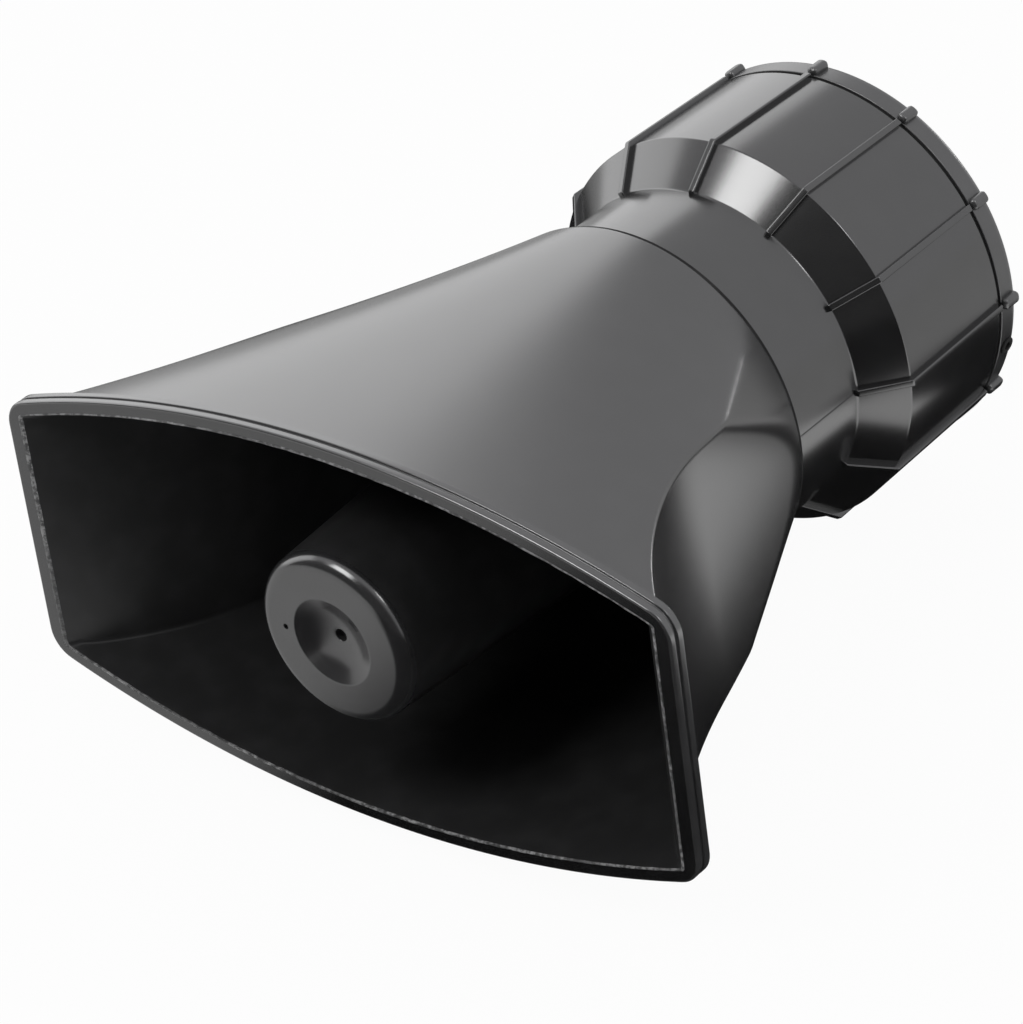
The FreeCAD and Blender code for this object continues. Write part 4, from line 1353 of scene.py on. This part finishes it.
@dataclass
class RearCover:
    """The rear cover: a band with twelve lugs, a flat back with a boss, and four sunk screw seats."""

    lug_count: int = 12
    lug_width: float = 2.6
    lug_rounding: float = 0.95
    screw_circle: float = 37.2
    head_hole: float = 2.96
    head_seat_y: float = -4.2
    screw_hole: float = 1.58
    screw_end_y: float = -14.0
    past_back: float = 1.0
    bush_angle: float = -15.0
    bush_y: float = -6.0
    bush_reach: float = 41.0
    bush_hole: float = 1.5
    bush_hole_length: float = 10.0
    foot: tuple[Pair, ...] = ((33.2, -13.0), (39.4, -13.0), (39.4, -4.0), (33.2, -4.0))
    foot_width: float = 8.0
    foot_round: float = 0.3
    foot_count: int = 4
    foot_angle: float = 45.0
    steps: int = 192
    outline: tuple[Corner, ...] = (
        (38.4, -13.0, 0.3),
        (40.5, -13.0, 0.3),
        (40.5, -8.5),
        (43.4, -8.5, 0.25),
        (43.4, -2.4, 2.5),
        (14.0, -2.4, 0.5),
        (14.0, 0.0, 0.5),
        (4.65, 0.0),
        (4.65, -7.55),
        (0.0, -7.55),
        (0.0, -9.35),
        (8.0, -9.35),
        (8.0, -5.0),
        (38.4, -5.0),
    )
    lug: tuple[Pair, ...] = ((42.5, -8.5), (44.9, -8.5), (44.9, -3.6), (42.5, -3.6))

    def build(self, finish: bpy.types.Material) -> None:
        """Turn the cover, bore its screw seats and cable hole and add its lugs.

        Args:
            finish: its material.
        """
        shape = Shape()
        shape.turn(self.outline, self.steps, closed=False)
        shape.plate(self.foot, self.foot_width, self.foot_round, self.foot_count, self.foot_angle)
        drill = Shape()
        drill.ring_of_pins(self.screw_circle, self.head_hole, self.head_seat_y, self.past_back)
        drill.ring_of_pins(self.screw_circle, self.screw_hole, self.screw_end_y, self.past_back)
        turn = math.radians(self.bush_angle)
        out = Vector((math.cos(turn), 0, math.sin(turn)))
        middle = out * self.bush_reach + Vector((0, self.bush_y, 0))
        drill.pin(self.bush_hole, self.bush_hole_length, facing(middle, out))
        shape.bore(drill)
        shape.plate(self.lug, self.lug_width, self.lug_rounding, self.lug_count)
        seat(shape.piece("rear_lid"), "cover_plastic", "rear_cover", finish)


@dataclass
class CableBush:
    """The rubber bush in the band that the cable would leave by."""

    angle: float = -15.0
    y: float = -6.0
    steps: int = 48
    outline: tuple[Corner, ...] = (
        (0.9, 37.8, 0.1),
        (1.9, 37.8, 0.1),
        (1.9, 38.3, 0.1),
        (1.4, 38.3),
        (1.4, 43.4),
        (1.9, 43.4, 0.1),
        (1.9, 43.9, 0.25),
        (0.9, 43.9, 0.2),
    )

    def build(self, finish: bpy.types.Material) -> None:
        """Turn the bush about its own axis and lay it in the band.

        Args:
            finish: its material.
        """
        shape = Shape()
        shape.turn(self.outline, self.steps)
        lay = Matrix.Rotation(-math.radians(self.angle), 4, "Y") @ Matrix.Rotation(-math.pi / 2, 4, "Z")
        place = Matrix.Translation((0, self.y * MM, 0)) @ lay
        bmesh.ops.transform(shape.mesh, matrix=place, verts=shape.mesh.verts[:])
        seat(shape.piece("cable_bush"), "grommet_rubber", "cable_grommet", finish)


@dataclass
class Inside:
    """The CAD nodes that keep their own shape, each with the finish of the real piece."""

    nodes: Mapping[str, bpy.types.Object]
    finishes: tuple[tuple[Finish, tuple[str, ...]], ...] = (
        (Rubber("seal_rubber", (0.018, 0.018, 0.018)), ("bell_seal", "throat_seal", "cover_gasket")),
        (Rubber("pad_foam", (0.07, 0.07, 0.075), 0.8, 0.12), ("magnet_pad",)),
        (Moulded("tube_plastic", (0.02, 0.02, 0.021), 0.42, Grain.SATIN), ("throat_tube",)),
        (Moulded("plug_plastic", (0.03, 0.03, 0.03), 0.45, Grain.SATIN), ("phase_plug", "clamp_ring")),
        (Metal("knurled_brass", (0.74, 0.55, 0.26), 0.3, Lay.KNURLED), ("bracket_insert",)),
        (Metal("cast_aluminium", (0.68, 0.68, 0.69), 0.45, Lay.CAST), ("driver_front_plate",)),
        (Film("phenolic_cloth", (0.3, 0.2, 0.12), (0.42, 0.3, 0.19), 0.5, 0.42), ("diaphragm_dome",)),
        (Film("surround_film", (0.36, 0.27, 0.18), (0.44, 0.34, 0.23), 0.4, 0.4), ("diaphragm_surround",)),
        (Film("amber_film", (0.5, 0.31, 0.1), (0.55, 0.35, 0.13), 0.9, 0.3), ("coil_former",)),
        (Winding("copper_winding", (0.74, 0.37, 0.2), (0.3, 0.13, 0.06)), ("voice_coil",)),
        (Metal("plated_steel", (0.62, 0.62, 0.64), 0.28), ("top_plate", "back_plate")),
        (Metal("ferrite", (0.085, 0.085, 0.09), 0.5, Lay.CAST, (0.05, 0.05, 0.05), 0.35), ("magnet_ring",)),
        (Film("phenolic_board", (0.26, 0.13, 0.055), (0.34, 0.19, 0.09), 1.1, 0.45), ("terminal_board",)),
        (
            Metal("bright_zinc", (0.66, 0.66, 0.68), 0.24),
            (
                "terminal_lugs",
                "terminal_rivets",
                "board_screw",
                "bell_screws",
                "driver_mount_screws",
                "clamp_screws",
            ),
        ),
        (Metal("black_zinc", (0.05, 0.05, 0.052), 0.34, Lay.TURNED, (0.12, 0.11, 0.1)), ("cover_screws",)),
    )

    def build(self) -> None:
        """Dress every carried-over node."""
        for finish, names in self.finishes:
            material = finish.make()
            for name in names:
                dress(self.nodes[name], material)


@dataclass(frozen=True)
class SoftBox:
    """A soft lamp that faces the horn, known by where it stands and how bright its face is."""

    name: str
    way: Triple
    distance: float
    size: Pair
    radiance: float

    def build(self, aim: Vector) -> None:
        """Add the lamp.

        Args:
            aim: the point it faces, in metres.
        """
        data = bpy.data.lights.new(self.name, "AREA")
        data.shape = "RECTANGLE"
        data.size, data.size_y = self.size
        data.energy = self.radiance * math.pi * self.size[0] * self.size[1]
        back = Vector(self.way).normalized()
        placed(self.name, data, facing(aim + back * self.distance, back))


@dataclass
class Studio:
    """The camera at the photograph's angle, a pale floor and soft light."""

    azimuth: float = 42.79
    elevation: float = 31.75
    roll: float = -8.12
    distance: float = 1030.0
    slide_right: float = -46.1
    slide_up: float = -37.3
    aim_y: float = -42.0
    lens: float = 175.78
    sensor: float = 36.0
    near_clip: float = 10.0
    floor_z: float = -47.0
    floor_reach: float = 6000.0
    floor_steps: int = 96
    floor_colour: Colour = (0.8, 0.8, 0.8)
    # near-black colour the floor shows to reflections outside the bright places: painted shade
    floor_painted_dark: Colour = (0.01, 0.01, 0.01)
    floor_shown: Pair = (0.96, 1.0)
    # where the floor is painted bright for reflections only: spans across (x) and along (y) the horn, and
    # levels
    front_mirrored: float = 0.55
    front_across: Pair = (-10.0, -55.0)
    front_along: Pair = (-110.0, -150.0)
    far_mirrored: float = 0.5
    far_across: Pair = (92.0, 106.0)
    far_along: Pair = (45.0, 65.0)
    far_front: Pair = (-90.0, -45.0)
    near_edge: Pair = (57.0, 61.0)
    near_slant: float = 0.13
    near_front: Pair = (-90.0, -78.0)
    near_back: Pair = (12.0, 0.0)
    sky_way: Triple = (0.0, 0.95, 0.3)
    sky_bright: Colour = (0.52, 0.52, 0.53)
    sky_dark: Colour = (0.05, 0.05, 0.05)
    sky_shown: Pair = (1.0, 0.02)
    sky_span: Pair = (-0.35, 0.0)
    lamp_aim: Triple = (0.0, -80.0, 0.0)
    lamps: tuple[SoftBox, ...] = (
        SoftBox("left_wall", (-0.95, 0.26, 0.36), 2.4, (4.0, 2.0), 1.05),
        SoftBox("front_box", (-0.22, -0.57, 0.79), 1.6, (0.65, 0.65), 4.8),
        SoftBox("right_box", (0.65, -0.04, 0.74), 1.6, (0.35, 0.35), 5.0),
        SoftBox("rear_box", (-0.06, 0.995, 0.0), 1.6, (0.3, 0.1), 9.0),
    )

    def _camera(self) -> None:
        """Put the camera where the photograph was taken from."""
        az, el, roll = (math.radians(angle) for angle in (self.azimuth, self.elevation, self.roll))
        back = Vector((math.sin(az) * math.cos(el), -math.cos(az) * math.cos(el), math.sin(el)))
        level = Vector((math.cos(az), math.sin(az), 0))
        upright = back.cross(level)
        right = math.cos(roll) * level + math.sin(roll) * upright
        up = math.cos(roll) * upright - math.sin(roll) * level
        aim = Vector((0, self.aim_y, 0))
        spot = (aim + back * self.distance + right * self.slide_right + up * self.slide_up) * MM
        data = bpy.data.cameras.new("camera")
        data.lens = self.lens
        data.sensor_width = self.sensor
        data.clip_start = self.near_clip * MM
        turn = Matrix((right, up, back)).transposed().to_4x4()
        bpy.context.scene.camera = placed("camera", data, Matrix.Translation(spot) @ turn)

    @staticmethod
    def _end(graph: Graph, kind: str, shown: Pair, plain: Wire, white: Wire) -> None:
        """End a node tree in a mix of the shader that lights the horn and the one that is seen.

        Args:
            graph: the node tree.
            kind: its output node's type.
            shown: the seen one's share to the camera, and to reflections and clear things.
            plain: the shader that lights the horn.
            white: the shader that is seen.
        """
        direct, mirrored = shown
        share = graph.ray("Is Camera Ray") * direct
        for name in ("Is Glossy Ray", "Is Transmission Ray"):
            share = share.larger(graph.ray(name) * mirrored)
        graph.end(kind, graph.node("ShaderNodeMixShader", None, {0: share, 1: plain, 2: white}))

    def _mirrored(self, graph: Graph) -> Wire:
        """Work out the floor's colour, which in reflections is painted near black outside three places
        painted bright.

        Args:
            graph: the floor's node tree.

        Returns:
            The colour: white to the camera, and by place where the horn mirrors the floor.
        """
        across, along = (graph.axis(index) * (1 / MM) for index in (0, 1))
        far = across.ramp(*self.far_across) * along.ramp(*self.far_front)
        far = far.larger(along.ramp(*self.far_along)) * self.far_mirrored
        front = across.ramp(*self.front_across) * along.ramp(*self.front_along) * self.front_mirrored
        slant = across + self.near_slant * along
        near = slant.ramp(*self.near_edge) * along.ramp(*self.near_front) * along.ramp(*self.near_back)
        # painted shade and painted shadow: outside the three places, reflections see the floor near black,
        # under the horn too
        painted_dark = (1 - far.larger(front).larger(near)) * graph.ray("Is Glossy Ray")
        return graph.blend(painted_dark, WHITE, self.floor_painted_dark)

    def _floor(self) -> None:
        """Lay a wide pale floor under the horn."""
        shape = Shape()
        mesh, reach = shape.mesh, self.floor_reach * MM
        bmesh.ops.create_circle(mesh, cap_ends=True, segments=self.floor_steps, radius=reach)
        bmesh.ops.translate(mesh, verts=mesh.verts[:], vec=(0, 0, self.floor_z * MM))
        floor = shape.loose("floor")
        material = bpy.data.materials.new("pale_floor")
        material.use_nodes = True
        graph = Graph(material.node_tree)
        plain = graph.node("ShaderNodeBsdfDiffuse", None, {"Color": self.floor_colour})
        white = graph.node("ShaderNodeEmission", None, {"Color": self._mirrored(graph)})
        self._end(graph, "ShaderNodeOutputMaterial", self.floor_shown, plain, white)
        floor.data.materials.append(material)

    def _world(self) -> None:
        """Give the world a soft level of light, and white where it is seen."""
        world = bpy.data.worlds.new("studio")
        bpy.context.scene.world = world
        world.use_nodes = True
        graph = Graph(world.node_tree)
        ways = {0: graph.node("ShaderNodeTexCoord", out="Generated"), 1: self.sky_way}
        toward = graph.node("ShaderNodeVectorMath", {"operation": "DOT_PRODUCT"}, ways, "Value")
        colour = graph.blend(toward.ramp(*self.sky_span), self.sky_dark, self.sky_bright)
        soft = graph.node("ShaderNodeBackground", None, {"Color": colour})
        white = graph.node("ShaderNodeBackground", None, {"Color": WHITE})
        self._end(graph, "ShaderNodeOutputWorld", self.sky_shown, soft, white)

    def build(self) -> None:
        """Set up the camera, the floor, the world and the lamps."""
        self._camera()
        self._floor()
        self._world()
        for lamp in self.lamps:
            lamp.build(Vector(self.lamp_aim) * MM)
        bpy.context.scene.view_settings.view_transform = "Standard"


def corners(box: Sequence[Sequence[float]]) -> list[list[float]]:
    """A box as plain lists of numbers."""
    return [[float(value) for value in corner] for corner in box]


def main() -> None:
    """Load the frame and build every piece in order."""
    logging.basicConfig(level=logging.INFO, format="%(message)s")
    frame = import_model()
    Studio().build()
    gloss = Moulded("bell_gloss", (0.012, 0.012, 0.0125), 0.235, specular=1.0).make()
    rim = Moulded("rim_gloss", (0.045, 0.045, 0.046), 0.22, specular=1.0).make()
    face = Moulded("rim_face", (0.01, 0.01, 0.0105), 0.24, specular=0.7).make()
    # painted shade and painted light: a weakly reflecting copy of the black plastic for the bell's inside
    # and the cap's skirt, with a raised colour that lightens the inner walls
    shade = Moulded("bell_painted_shade", (0.028, 0.028, 0.0285), 0.31, specular=0.25).make()
    lip = FlashedLip("mouth_lip", (0.09, 0.09, 0.091), (0.42, 0.42, 0.42), 0.35).make()
    Bell().build(outside=gloss, rim=rim, face=face, lip=lip, inside=shade)
    cap = Moulded("cap_satin", (0.025, 0.025, 0.026), 0.2, Grain.SATIN, specular=0.85).make()
    Reflector().build(cap, shade)
    drum = Moulded("drum_gloss", (0.012, 0.012, 0.0125), 0.2, specular=0.95).make()
    DriverHousing().build(drum)
    band = Moulded("band_grain", (0.035, 0.035, 0.036), 0.34, Grain.SPARKED, specular=0.95).make()
    RearCover().build(band)
    CableBush().build(Rubber("bush_rubber", (0.025, 0.025, 0.025)).make())
    Inside(frame["nodes"]).build()


if __name__ == "__main__":
    main()
